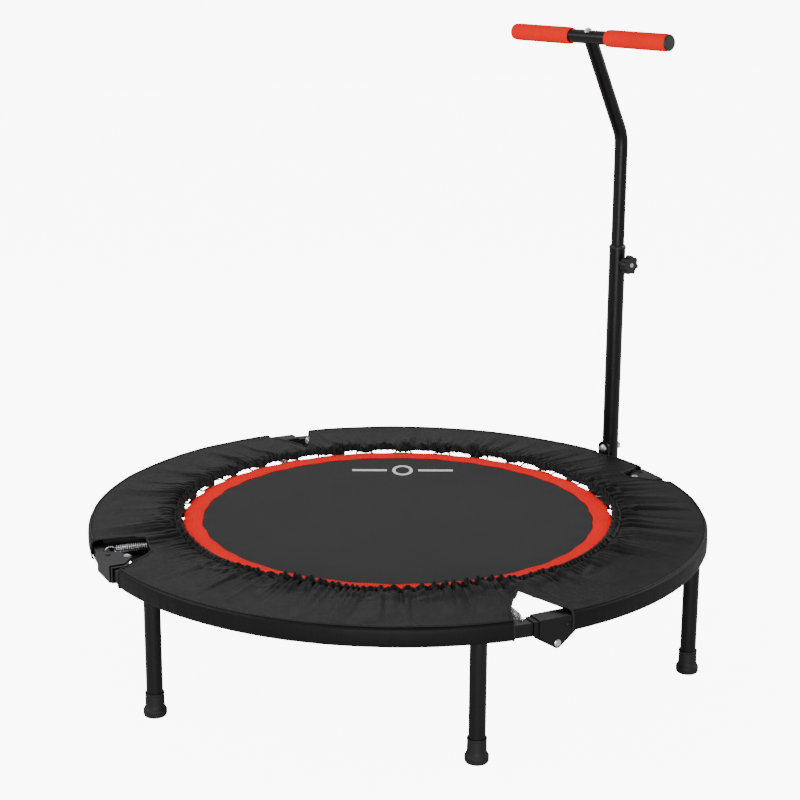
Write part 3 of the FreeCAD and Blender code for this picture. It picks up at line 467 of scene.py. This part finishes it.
# ---------------------------------------------------------------- CAD nodes that stay
NODE_MATERIALS = {
    "frame_tube": FRAME_COAT, "hinge_outer": HINGE_COAT, "hinge_inner": HINGE_COAT,
    "hinge_pin": ZINC, "leaf_rivets": HINGE_COAT, "leg_tube": FRAME_COAT, "leg_studs": ZINC,
    "lower_post": POST_COAT, "upper_post": POST_COAT, "crossbar": POST_COAT,
    "crossbar_bolt": ZINC, "post_bracket": POST_COAT, "post_bolts": ZINC,
    "post_nuts": ZINC, "post_plug": PLASTIC, "post_bushing": PLASTIC,
    "post_glide": PLASTIC, "knob_boss": POST_COAT, "knob_screw": ZINC,
    "knob": PLASTIC, "arm_insert": PLASTIC, "grip_cap": PLASTIC,
}
SOFT_EDGES = ("hinge_outer", "hinge_inner", "post_bracket", "knob", "frame_tube")


def dress_cad_nodes():
    """The longest matching prefix names a node's material; folded plates get soft edges."""
    for name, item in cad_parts.items():
        matches = [prefix for prefix in NODE_MATERIALS if name.startswith(prefix)]
        if not matches:
            continue
        material = NODE_MATERIALS[max(matches, key=len)]
        item.data.materials.clear()
        item.data.materials.append(material)
        if name.startswith(SOFT_EDGES) and name not in ("knob_boss", "knob_screw"):
            bevel = item.modifiers.new("soft_edges", "BEVEL")
            bevel.width = 0.0006 if name != "knob" else 0.0012
            bevel.segments = 3
            bevel.limit_method = "ANGLE"
            bevel.angle_limit = 50 * DEGREE


# ---------------------------------------------------------------- mat and band
EDGE_DIP = 0.0035                              # the mat's edge draws in between its rings


def edge_radius(angles, corner, dip):
    """A ring that is pulled out at every mat ring and dips in between."""
    phase = (np.asarray(angles) / PITCH) % 1.0
    between = np.abs(phase - 0.5) * 2
    wobble = 0.0008 * periodic_noise(angles, 61, 5)
    return corner - dip * between ** 1.6 * (1 - 0.15 * between) + wobble


def build_mat():
    """The jumping mat: a taut disc whose edge is drawn out at the springs."""
    columns, rows = 720, 46
    angles = np.arange(columns) * 2 * math.pi / columns
    edge = edge_radius(angles, MAT_RADIUS - 0.0005, EDGE_DIP)
    vertices = [(0, 0, MAT_TOP - MAT_SAG)]
    for n in range(1, rows + 1):
        share = (n / rows) ** 0.8
        sag = -MAT_SAG * (1 - share ** 2)
        ripple = 0.0005 * max(0.0, share - 0.8) / 0.2 * np.cos(angles * SPRINGS)
        for k in range(columns):
            spot = polar(edge[k] * share, angles[k], MAT_TOP + sag + ripple[k])
            vertices.append(tuple(spot))
    faces = [(0, 1 + k, 1 + (k + 1) % columns) for k in range(columns)]
    faces += ring_faces(rows - 1, columns, base=1)
    mat = new_piece("jumping_mat", vertices, faces, MAT)
    thicken(mat, MAT_THICK)
    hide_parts("mat_a", "mat_b")
    across_fold(mat)


def band_grid(columns, rows):
    """The band's top surface as rows of points from its inner to its outer edge."""
    angles = np.arange(columns) * 2 * math.pi / columns
    outer = edge_radius(angles, MAT_RADIUS + 0.0005, EDGE_DIP)
    inner = edge_radius(angles, BAND_INNER, 0.0024)
    grid = []
    for n in range(rows + 1):
        t = n / rows
        radius = inner * (1 - t) + outer * t
        pucker = 0.0003 * periodic_noise(angles + t * 0.02, 700, 11 + n)
        height = MAT_TOP + 0.0009 + pucker * min(1.0, 4 * t, 4 * (1 - t))
        grid.append((angles, radius, height + 0.0 * angles))
    return grid


def build_band():
    """The red edge band, sewn flat on the mat's edge."""
    columns, rows = 1440, 8
    grid = band_grid(columns, rows)
    vertices = []
    for angles, radius, height in grid:
        for k in range(columns):
            vertices.append(tuple(polar(radius[k], angles[k], height[k])))
    band = new_piece("edge_band", vertices, ring_faces(rows, columns), BAND)
    thicken(band, MAT_THICK)
    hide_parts("mat_band_a", "mat_band_b")
    across_fold(band)


def stitch_row(path, length, gap, radius):
    """Short raised stitches along a closed path of points."""
    path = np.asarray(path, float)
    steps = np.linalg.norm(np.roll(path, -1, axis=0) - path, axis=1)
    along = np.concatenate([[0], np.cumsum(steps)])
    total = along[-1]
    count = int(total / (length + gap))
    looped = np.vstack([path, path[:1]])
    parts = []
    shape = (0.35, 1.0, 1.0, 0.35)
    for n in range(count):
        start = n * total / count
        places = start + np.array([0, 0.28, 0.72, 1.0]) * length
        points = np.column_stack([np.interp(places % total, along, looped[:, axis])
                                  for axis in range(3)])
        points[0, 2] -= radius * 0.8
        points[-1, 2] -= radius * 0.8
        parts.append(sweep(points, radius * np.array(shape), sides=5))
    return join(parts)


def build_band_stitching():
    """Seven rows of stitches round the band."""
    columns, rows = 1440, 24
    grid = band_grid(columns, rows)
    parts = []
    for n in (1, 4, 8, 13, 18, 21, 23):
        angles, radius, height = grid[n]
        path = np.column_stack([radius * np.cos(angles), radius * np.sin(angles),
                                height + 0.0002])
        parts.append(stitch_row(path, 0.0036, 0.0013, 0.00032))
    vertices, faces = join(parts)
    stitches = new_piece("band_stitching", vertices, faces, RED_THREAD)
    across_fold(stitches)


def build_print():
    """A plain generic mark: an open ring between two bars, without lettering."""
    middle = polar(0.247, 61.5 * DEGREE, MAT_TOP)
    right = polar(1.0, -26.4 * DEGREE)
    up = polar(1.0, 63.6 * DEGREE)
    lift = 0.0007
    ring_radii, ring_stretch = (0.0125, 0.0185), 1.6
    bar_start, bar_length, bar_half = 0.028, 0.062, 0.0055
    vertices, faces = [], []

    def place(across, along):
        spot = middle + right * across + up * along
        sag = -MAT_SAG * (1 - (Vector((spot.x, spot.y)).length / MAT_RADIUS) ** 2.5)
        return (spot.x, spot.y, MAT_TOP + sag + lift)

    count = 96
    for radius in ring_radii:
        for k in range(count):
            angle = 2 * math.pi * k / count
            vertices.append(place(radius * math.cos(angle),
                                  radius * math.sin(angle) * ring_stretch))
    for k in range(count):
        after = (k + 1) % count
        faces.append((k, count + k, count + after, after))
    for side in (-1, 1):
        base = len(vertices)
        steps = 40
        for k in range(steps + 1):
            across = side * (bar_start + bar_length * k / steps)
            for half in (-bar_half, bar_half):
                vertices.append(place(across, half))
        for k in range(steps):
            quad = (base + 2 * k, base + 2 * k + 2, base + 2 * k + 3, base + 2 * k + 1)
            faces.append(quad if side > 0 else quad[::-1])
    mark = new_piece("plain_mark", vertices, faces, INK)
    across_fold(mark)


# ---------------------------------------------------------------- springs and rings
def spring_path():
    """Centre line of one spring lying along +X, from its inner hook to its outer hook."""
    level, coil, turns = RING_TOP, 0.00575, 16
    start, end = 0.4215, 0.4755
    hook_x, hook_radius = 0.408, 0.0058
    points = []
    for k in range(15):
        angle = (-60 - 210 * k / 14) * DEGREE
        points.append((hook_x + hook_radius * math.cos(angle), 0,
                       RING_LEVEL + hook_radius * math.sin(angle)))
    points.append((start - 0.004, 0, level + coil * 0.95))
    steps = turns * 14
    for k in range(steps + 1):
        angle = 2 * math.pi * turns * k / steps
        taper = min(1.0, 0.55 + k / 20, 0.55 + (steps - k) / 20)
        points.append((start + (end - start) * k / steps, coil * math.sin(angle) * taper,
                       level + coil * math.cos(angle) * taper))
    hole, bend, top = 0.491, 0.009, level + 0.0056
    points.append((end + 0.004, 0, level + coil * 0.96))
    for k in range(9):
        angle = (90 - 90 * k / 8) * DEGREE
        points.append((hole - bend + bend * math.cos(angle), 0,
                       top - bend + bend * math.sin(angle)))
    points.append((hole, 0, level - 0.0045))
    return points


def vring_path():
    """A triangular ring with rounded corners, in the plane of the mat."""
    base, apex = VRING_BASE, 0.4052
    corners = [(base, -0.0170), (base, 0.0170), (apex, 0.0052), (apex, -0.0052)]
    path = []
    for n in range(4):
        before, here, after = (np.array(corners[(n + k) % 4]) for k in (-1, 0, 1))
        for spot in corner_arc(before, here, after, 0.004, 5):
            path.append((spot[0], spot[1], RING_LEVEL))
    return path


def webbing_tab():
    """A folded strip of webbing: under the mat, out round the ring's base and back."""
    half, thick, turn = 0.0128, 0.0009, 0.0021
    under = MAT_TOP - 0.0017
    middle = [(VRING_BASE - 0.031, under), (VRING_BASE - 0.016, under - 0.0001),
              (VRING_BASE - 0.005, under - 0.0003)]
    for k in range(11):
        angle = (100 - 200 * k / 10) * DEGREE
        middle.append((VRING_BASE + turn * math.cos(angle), RING_LEVEL + turn * math.sin(angle)))
    middle += [(VRING_BASE - 0.005, under - 0.0026), (VRING_BASE - 0.016, under - 0.0016),
               (VRING_BASE - 0.029, under - 0.0012)]
    points = np.array(middle)
    tangent = np.gradient(points, axis=0)
    tangent /= np.linalg.norm(tangent, axis=1)[:, None]
    normal = np.column_stack([-tangent[:, 1], tangent[:, 0]])
    vertices, faces = [], []
    for side in (-half, -half * 0.96, half * 0.96, half):
        inset = 0.3 if abs(side) == half else 1.0
        for offset in (thick / 2 * inset, -thick / 2 * inset):
            for point, away in zip(points, normal):
                spot = point + away * offset
                vertices.append((spot[0], side, spot[1]))
    count = len(points)
    loops = [0, 2, 4, 6, 7, 5, 3, 1]
    for a, b in zip(loops, loops[1:] + loops[:1]):
        for k in range(count - 1):
            faces.append((a * count + k, b * count + k, b * count + k + 1, a * count + k + 1))
    for end in (0, count - 1):
        cap = tuple(row * count + end for row in loops)
        faces.append(cap if end else cap[::-1])
    return np.array(vertices), faces


def elastic_tie():
    """A flat elastic from the cover's casing down to a mat ring."""
    points = []
    start = CASING_LEVEL - 0.0035
    for k in range(9):
        t = k / 8
        points.append((CASING - 0.002 + 0.020 * t, 0.0005 * math.sin(3 * t),
                       start - (start - RING_LEVEL - 0.0022) * t ** 0.8))
    vertices, faces = [], tube_faces(len(points), 4)
    for x, y, z in points:
        for across, up in ((-0.003, 0), (0, 0.0005), (0.003, 0), (0, -0.0005)):
            vertices.append((x, y + across, z + up))
    last = 4 * (len(points) - 1)
    faces.append((3, 2, 1, 0))
    faces.append((last, last + 1, last + 2, last + 3))
    return np.array(vertices), faces


def build_suspension():
    """Springs, rings, tabs and ties: equal pieces at 32 places, grouped by half."""
    masters = {
        "springs": (sweep(spring_path(), 0.0010, 8), SPRING_STEEL, "spring_steel"),
        "mat_rings": (sweep(vring_path(), 0.0015, 10, closed=True), ZINC, "zinc_steel"),
        "mat_tabs": (webbing_tab(), TABS, "tab_webbing"),
        "cover_ties": (elastic_tie(), TABS, "cover_fabric"),
    }
    for half, turn in (("a", 0.0), ("b", math.pi)):
        for name, (master, material, slot) in masters.items():
            copies = [turned(master, turn + (n - 7.5) * PITCH) for n in range(SPRINGS // 2)]
            vertices, faces = join(copies)
            piece = new_piece("%s_%s_piece" % (name, half), vertices, faces, material)
            if name != "cover_ties":
                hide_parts("%s_%s" % (name, half))
            on_body(piece, "half_" + half)


# ---------------------------------------------------------------- spring cover
RIM = 0.4955                                   # the cover's top ends here, at the wall's roll
PAST_RIM = 1.0                                 # reach of the top where nothing is cut away
# Each opening over a hinge: its azimuth, then (degrees from it, radius) along the cut edge.
OPENINGS = (
    (270, ((-7.7, RIM), (-6.9, 0.470), (-4.4, 0.436), (-1.7, 0.414), (0.8, 0.455),
           (2.2, 0.487), (2.8, RIM))),
    (90, ((-6.9, RIM), (-6.6, 0.480), (-3.2, 0.412), (-1.2, 0.402), (2.6, RIM))),
    (180, ((-9.0, RIM), (-8.7, 0.480), (-7.9, 0.440), (-5.6, 0.4235), (0.5, 0.428),
           (2.4, 0.442), (6.4, 0.489), (6.9, RIM))),
    (0, ((-7.2, RIM), (-1.5, 0.446), (1.5, 0.444), (4.0, RIM))),
)
POST_AZIMUTH, POST_NOTCH = 15.0, 1.9           # degrees: the post's place, half its notch
# The rim's roll and the side wall down to the hem, as (radius, height) points.
WALL = ((0.4995, 0.21685), (0.5030, 0.2163), (0.5056, 0.2145), (0.5070, 0.2118),
        (0.5074, 0.2085), (0.50765, 0.2045), (0.5077, 0.2000), (0.50755, 0.1955),
        (0.5072, 0.1915), (0.5065, 0.1885), (0.5052, 0.1866), (0.5036, 0.1860))


def cut_radius(angles):
    """How far out the cover's top reaches: past the rim, or to the edge of an opening."""
    reach = np.full(len(angles), PAST_RIM)
    degrees = np.degrees(angles)
    for azimuth, edge in OPENINGS:
        away = (degrees - azimuth + 180) % 360 - 180
        inside = (away > edge[0][0]) & (away < edge[-1][0])
        cut = np.interp(away, [point[0] for point in edge], [point[1] for point in edge])
        reach[inside] = cut[inside]
    away = (degrees - POST_AZIMUTH + 180) % 360 - 180
    reach[np.abs(away) < POST_NOTCH] = RIM
    return reach


def gathers(angles, count, seed, drift=2.6):
    """Uneven rounded folds with sharp valleys, about count of them, from 0 to 1."""
    cells = max(8, count // 4)
    slow = periodic_noise(angles, cells, seed) + 0.6 * periodic_noise(angles, 2 * cells, seed + 7)
    folds = np.abs(np.sin(count * angles / 2 + drift * slow)) ** 0.8
    strength = 0.55 + 0.45 * periodic_noise(angles, max(8, count // 3), seed + 1)
    return folds * strength


def cover_folds(angles, radius):
    """Height of the cover's wrinkles above its smooth shape at these places."""
    out = np.clip((radius - CASING_END) / (RIM - CASING_END), 0, 1)
    lean = 0.020 * periodic_noise(angles, 34, 71) * out
    reach = 1 + 0.5 * periodic_noise(angles, 52, 73)
    shake = 0.004 * periodic_noise(angles + 2.2 * out, 260, 75) * out
    fine = gathers(angles + lean + shake, 210, 21) * np.exp(-out / 0.16)
    middle = gathers(angles + 2 * lean + shake, 104, 31) * np.exp(-(out / (0.30 * reach)) ** 1.3)
    wide = gathers(angles + 3 * lean, 46, 41) * np.exp(-(out / (0.75 * reach)) ** 1.5)
    creases = np.clip(periodic_noise(angles + 2.5 * lean, 150, 51) - 0.25, 0, 1)
    creases = creases * (np.clip(1 - out * 1.1, 0, 1) + 0.22)
    cross = periodic_noise(angles + 0.6 * out, 95, 57) * np.sin(np.minimum(out * 3.2, 1) * math.pi)
    soft = periodic_noise(angles, 23, 61) * np.sin(out * math.pi)
    heights = 0.0056 * fine + 0.0080 * middle + 0.0078 * wide + 0.0066 * creases
    fade = 1 - np.clip((radius - 0.482) / 0.0135, 0, 1)
    heights = heights - 0.0066 * np.exp(-out / 0.5) + 0.0020 * cross + 0.0022 * soft
    return heights * (0.14 + 0.86 * fade)


def tie_pull(angles):
    """1 at each elastic tie, 0 between them."""
    phase = (angles / PITCH) % 1.0
    near = np.exp(-(np.abs(phase - 0.5) / 0.19) ** 2.4)
    return near * (0.85 + 0.15 * periodic_noise(angles, 32, 81))


def clear_of_frame(radius, height):
    """Keeps the cloth above the springs, their hooks and the frame tube."""
    lowest = np.interp(radius, (0.360, 0.398, 0.404, 0.412, 0.418), (0.2110, 0.2110, 0.2146,
                                                                     0.2150, 0.2160))
    soft = 0.0007
    return lowest + soft * np.log1p(np.exp(np.minimum((height - lowest) / soft, 50)))


def cover_top_point(radius):
    """Smooth height of the cover's top at a radius, before its wrinkles."""
    out = np.clip((radius - CASING_END) / (RIM - CASING_END), 0, 1)
    return SEAM_LEVEL - (SEAM_LEVEL - 0.2164) * out - 0.0008 * np.sin(out * math.pi)


def cover_rows():
    """Rows of the cover's top, from the frill's edge to the rim: (kind, share)."""
    frill = [("frill", t) for t in np.linspace(0, 1, 7)]
    casing = [("casing", t) for t in np.linspace(0, 1, 9)[1:]]
    top = [("top", t) for t in np.linspace(0, 1, 46)[1:] ** 1.3]
    return frill + casing + top


def overhang(angles):
    """How far in the cover's opening sits: it hides more of the band on one side."""
    side = np.clip((np.cos(angles - 250 * DEGREE) + 0.25) / 0.9, 0, 1)
    return OVERHANG * side * side * (3 - 2 * side)


def casing_seam(small, lump, quick):
    """Height of the casing's outer seam, bunched by its elastic."""
    return SEAM_LEVEL + (small - 0.5) * 0.0052 + (lump - 0.5) * 0.0072 + 0.0010 * quick


def cover_row(kind, share, angles, reach):
    """One row of the cover as radius and height arrays."""
    pull = tie_pull(angles)
    small = gathers(angles, 210, 21)
    lump = gathers(angles, 104, 31)
    quick = periodic_noise(angles, 620, 91)
    shift = overhang(angles)
    pull = pull * (1 - shift / OVERHANG)
    inward = 0.0004 - 0.0050 * pull - 0.0050 * (lump - 0.5) + 0.0012 * quick - shift
    droop = 0.0006 - 0.0038 * pull + 0.0022 * (lump - 0.5)
    if kind == "frill":
        edge = 1 - share
        radius = CASING - 0.0042 * edge + inward * (0.8 + 0.2 * edge)
        radius = radius + 0.0010 * (small - 0.5) * edge
        wave = (small - 0.5) * (0.0018 + 0.0008 * edge) + 0.0004 * quick * edge
        height = CASING_LEVEL - 0.0012 * edge + wave + droop * (0.8 + 0.2 * edge)
        return radius, np.maximum(height, FRILL_FLOOR)
    if kind == "casing":
        swell = math.sin(share * math.pi) ** 0.7
        radius = CASING + (CASING_END - CASING) * share + inward * (0.8 - 0.4 * share)
        start = CASING_LEVEL + (small - 0.5) * 0.0018 + droop * 0.8
        start = np.maximum(start, FRILL_FLOOR)
        height = start * (1 - share) + casing_seam(small, lump, quick) * share
        height = height + (0.0066 + 0.0028 * (small - 0.5) + 0.0060 * (lump - 0.5)) * swell
        height = height - 0.0010 * share ** 4
        return radius, height
    start = CASING_END + inward * 0.4
    end = np.minimum(reach, RIM)
    radius = start + (end - start) * share
    join_up = np.exp(-share * 16)
    height = cover_top_point(radius) + cover_folds(angles, radius)
    height = height * (1 - join_up) + (casing_seam(small, lump, quick) - 0.0010) * join_up
    return radius, clear_of_frame(radius, height)


def build_cover():
    """The spring cover: a gathered top, cut open over the hinges, and its side wall."""
    angles = np.arange(COLUMNS) * 2 * math.pi / COLUMNS
    reach = cut_radius(angles)
    rows = []
    for kind, share in cover_rows():
        rows.append(cover_row(kind, share, angles, reach))
    top_rows = len(rows)
    ripple = periodic_noise(angles, 420, 101)
    slow = periodic_noise(angles, 60, 103)
    for n, (radius, height) in enumerate(WALL):
        down = n / (len(WALL) - 1)
        bulge = 0.0007 * slow * math.sin(down * math.pi)
        tuck = 0.0009 * ripple * down ** 3
        rows.append((radius + bulge + tuck - 0.0004, height + 0.0005 * ripple * down ** 2
                     + 0.0004 * slow * (1 - down)))
    vertices = np.zeros((len(rows), COLUMNS, 3))
    for n, (radius, height) in enumerate(rows):
        vertices[n, :, 0] = radius * np.cos(angles)
        vertices[n, :, 1] = radius * np.sin(angles)
        vertices[n, :, 2] = height
    open_wall = reach < PAST_RIM
    wall_start = (top_rows - 1) * COLUMNS
    faces = [face for face in ring_faces(len(rows) - 1, COLUMNS) if face[0] < wall_start
             or not (open_wall[face[0] % COLUMNS] or open_wall[face[-1] % COLUMNS])]
    cover = new_piece("spring_cover", vertices.reshape(-1, 3), faces, COVER)
    drop_loose_points(cover)
    thicken(cover, 0.0007)
    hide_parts("cover_a", "cover_b")
    across_fold(cover)
    return angles, reach, vertices, top_rows


def drop_loose_points(piece):
    """Removes the points that no face uses."""
    edit = bmesh.new()
    edit.from_mesh(piece.data)
    loose = [v for v in edit.verts if not v.link_faces]
    bmesh.ops.delete(edit, geom=loose, context="VERTS")
    edit.to_mesh(piece.data)
    edit.free()


def runs_outside(mask):
    """Index runs of neighbouring columns that a mask leaves out."""
    starts = [k for k in range(COLUMNS) if not mask[k] and mask[k - 1]]
    runs = []
    for start in starts:
        run = []
        k = start
        while not mask[k % COLUMNS]:
            run.append(k % COLUMNS)
            k += 1
        runs.append(run)
    return runs


def hem_depth(azimuth, radius):
    """How far a hanging hem may drop at this place: springs and tube limit it."""
    over_tube, over_spring, between = 0.0065, 0.004, 0.0165
    tube_side, spring_half = 0.4795, 0.0090
    from_spring = abs((azimuth / PITCH) % 1.0 - 0.5) * PITCH * radius
    if radius > tube_side:
        return over_tube
    return over_spring if from_spring < spring_half else between


def build_opening_hems(angles, reach, vertices, top_rows):
    """Black cloth that hangs from the cut edges over the side hinges and hides the floor."""
    end_row = vertices[top_rows - 1]
    half_width, steps = 9 * DEGREE, 7
    parts = []
    for centre_angle in (0.0, math.pi):
        away = (angles - centre_angle + math.pi) % (2 * math.pi) - math.pi
        columns = np.where((np.abs(away) < half_width) & (reach < RIM))[0]
        columns = columns[np.argsort(away[columns])]
        spots = []
        for k in columns:
            top = Vector(end_row[k])
            drop = hem_depth(angles[k], math.hypot(top.x, top.y))
            for n in range(steps):
                share = n / (steps - 1)
                belly = 1 + 0.004 * math.sin(share * math.pi)
                spots.append((top.x * belly, top.y * belly, top.z - 0.0008 - drop * share))
        parts.append((np.array(spots), strip_faces(len(columns), steps)))
    hems = new_piece("opening_hems", *join(parts), COVER)
    thicken(hems, 0.0006)
    across_fold(hems)


def build_painted_shade_sheets():
    """Black cloth panels under the springs at the side hinges, hung from the hems: painted shade,
    a dark sheet that stands for the shadow under the springs in these openings.
    """
    rows, columns = 10, 60
    first, span = -23, 34                      # degrees from the hinge
    inner, full, level = 0.386, 0.4810, 0.1980
    at_plates, plates_half, plates_at = 0.4585, 0.043, 0.46
    for half, turn in (("a", 0.0), ("b", math.pi)):
        vertices = []
        for c in range(columns + 1):
            away = (first + span * c / columns) * DEGREE
            outer = at_plates if abs(plates_at * math.sin(away)) < plates_half else full
            for r in range(rows + 1):
                radius = inner + (outer - inner) * r / rows
                sag = 0.0012 * math.sin(math.pi * r / rows)
                ripple = 0.0004 * math.sin(31 * away + 2 * r)
                vertices.append(tuple(polar(radius, away + turn, level - sag + ripple)))
        faces = strip_faces(columns + 1, rows + 1)
        # Painted shade: black cloth put under the springs where the openings are in shadow.
        shade_sheet = new_piece("painted_shade_sheet_" + half, vertices, faces, COVER)
        thicken(shade_sheet, 0.0006)
        on_body(shade_sheet, "half_" + half)


def build_cover_trim(reach, vertices, top_rows):
    """Piping along the rim and a folded binding along each cut edge."""
    open_wall = reach < PAST_RIM
    piping, binding = [], []
    piping_radius, binding_radius = 0.0013, 0.0016
    rim_row = vertices[top_rows + 1]
    end_row = vertices[top_rows - 1]
    for run in runs_outside(open_wall):
        line = rim_row[run].copy()
        line[:, 2] += 0.0006
        piping.append(sweep(line[::3], piping_radius, 8))
        for k in (run[0], run[-1]):
            binding.append(sweep(vertices[top_rows - 1:, k], binding_radius, 7))
    for run in runs_outside(~open_wall):
        binding.append(sweep(end_row[run][::3], binding_radius, 7))
    for name, parts in (("rim_piping", piping), ("opening_binding", binding)):
        piece = new_piece(name, *join(parts), BINDING)
        across_fold(piece)


# ---------------------------------------------------------------- handle grips and feet
def handle_axis(node):
    """The middle of a node on the crossbar, and the crossbar's direction."""
    low, high = (Vector(corner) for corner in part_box(node))
    return (low + high) / 2, polar(1.0, (POST_AZIMUTH + 90) * DEGREE)


def grip_half(node):
    """Half a grip's length, from its box along the slanted crossbar."""
    low, high = (Vector(corner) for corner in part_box(node))
    radius = (high.z - low.z) / 2
    lean = math.cos(POST_AZIMUTH * DEGREE)
    return ((high.y - low.y) / 2 - radius * math.sin(POST_AZIMUTH * DEGREE)) / lean


def build_grips():
    """Foam sleeves with softly rolled ends on each side of the crossbar."""
    half, bore, segments = grip_half("grip_left"), 0.0117, 72
    profile = rounded([(bore, -half), (0.0139, -half), (0.0146, 0.007 - half), (0.01455, 0.0),
                       (0.0146, half - 0.007), (0.0139, half), (bore, half)], 0.003)
    for side in ("left", "right"):
        node = "grip_" + side
        middle, tangent = handle_axis(node)
        vertices = []
        for radius, height in profile:
            for k in range(segments):
                angle = 2 * math.pi * k / segments
                uneven = 1 + 0.004 * math.sin(3 * angle + height * 40) * (radius > 0.013)
                vertices.append((radius * uneven * math.cos(angle),
                                 radius * uneven * math.sin(angle), height))
        faces = tube_faces(len(profile), segments, closed=True)
        grip = new_piece("foam_" + node, vertices, faces, FOAM)
        turn = tangent.to_track_quat("Z", "Y").to_matrix().to_4x4()
        grip.data.transform(Matrix.Translation(middle) @ turn)
        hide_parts(node)
        on_body(grip, "handle_upper")


def build_feet():
    """Rubber feet: a flared round base, a waist and a lipped sleeve."""
    profile = rounded([(0, 0.0), (0.0165, 0.0), (0.0178, 0.003), (0.0180, 0.0105),
                       (0.0152, 0.0150), (0.0146, 0.0180), (0.0142, 0.0345),
                       (0.0147, 0.0355), (0.0147, 0.0378), (0.0128, 0.0380),
                       (0.0125, 0.0350), (0, 0.0350)], 0.0014, 4)
    for n in range(1, 7):
        low, high = (Vector(corner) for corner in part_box("foot_%d" % n))
        vertices, faces = lathe(profile, 72)
        foot = new_piece("rubber_foot_%d" % n, vertices, faces, RUBBER)
        foot.data.transform(Matrix.Translation(((low.x + high.x) / 2, (low.y + high.y) / 2, 0)))
        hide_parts("foot_%d" % n)
        on_body(foot, "leg_%d" % n)


# ---------------------------------------------------------------- stage, light, camera
PAPER_SEEN = 9.0                               # how bright the backdrop looks
WORLD_LIT = 0.42                               # how much light the sky gives the object


def seen_or_lit(tree, seen, lit):
    """A number socket: one value where the camera looks at it, another where it lights."""
    path = tree.nodes.new("ShaderNodeLightPath")
    pick = tree.nodes.new("ShaderNodeMapRange")
    pick.inputs["To Min"].default_value = lit
    pick.inputs["To Max"].default_value = seen
    tree.links.new(path.outputs["Is Camera Ray"], pick.inputs["Value"])
    return pick.outputs["Result"]


def build_stage():
    """A white sweep that glows for the camera, as in an overexposed studio shot."""
    paper = bpy.data.materials.new("studio_paper")
    paper.use_nodes = True
    tree = paper.node_tree
    shader = tree.nodes["Principled BSDF"]
    shader.inputs["Base Color"].default_value = (0.78, 0.78, 0.78, 1)
    shader.inputs["Roughness"].default_value = 0.9
    shader.inputs["Emission Color"].default_value = (1, 1, 1, 1)
    glow = seen_or_lit(tree, PAPER_SEEN, 0.0)
    tree.links.new(glow, shader.inputs["Emission Strength"])
    size = 9.0
    floor = new_piece("studio_floor", [(-size, -size, 0), (size, -size, 0),
                                       (size, size, 0), (-size, size, 0)],
                      [(0, 1, 2, 3)], paper, smooth=False)
    world = bpy.data.worlds.new("studio_world")
    bpy.context.scene.world = world
    world.use_nodes = True
    background = world.node_tree.nodes["Background"]
    background.inputs["Color"].default_value = (1, 1, 1, 1)
    strength = seen_or_lit(world.node_tree, PAPER_SEEN, WORLD_LIT)
    world.node_tree.links.new(strength, background.inputs["Strength"])


def soft_light(name, place, target, size, power):
    """A rectangular studio light, aimed at a target."""
    data = bpy.data.lights.new(name, "AREA")
    data.shape = "RECTANGLE"
    data.size, data.size_y = size
    data.energy = power
    light = bpy.data.objects.new(name, data)
    bpy.context.scene.collection.objects.link(light)
    light.location = place
    aim = Vector(target) - Vector(place)
    light.rotation_euler = aim.to_track_quat("-Z", "Y").to_euler()


def build_camera():
    """The studio camera: long lens, 15 degrees down, almost level."""
    heading, pitch, roll = -26.78 * DEGREE, 15.184 * DEGREE, 0.325 * DEGREE
    place = Vector((-1.2855, -2.5521, 1.1824))
    back = Vector((0, -math.cos(pitch), math.sin(pitch)))
    right = Vector((1, 0, 0))
    up = back.cross(right)
    rolled = right * math.cos(roll) + up * math.sin(roll)
    upright = up * math.cos(roll) - right * math.sin(roll)
    basis = Matrix((rolled, upright, back)).transposed().to_4x4()
    data = bpy.data.cameras.new("studio_camera")
    data.lens = 81.85
    data.sensor_width = 36
    camera = bpy.data.objects.new("studio_camera", data)
    bpy.context.scene.collection.objects.link(camera)
    camera.matrix_world = (Matrix.Translation(place) @ Matrix.Rotation(heading, 4, "Z") @ basis)
    bpy.context.scene.camera = camera


build_camera()
build_stage()
centre = (0, 0, 0.25)
soft_light("key_light", (-2.8, 0.9, 2.0), centre, (1.2, 0.9), 44)
soft_light("fill_light", (2.8, -0.4, 1.6), centre, (1.4, 1.0), 30)
soft_light("front_light", (-1.4, -2.9, 0.5), centre, (1.8, 0.7), 40)
soft_light("rim_light", (0.8, 2.8, 2.2), centre, (2.4, 0.8), 14)
dress_cad_nodes()
build_mat()
build_band()
build_band_stitching()
build_print()
build_suspension()
cover_shape = build_cover()
build_cover_trim(*cover_shape[1:])
build_opening_hems(*cover_shape)
build_painted_shade_sheets()
build_grips()
build_feet()
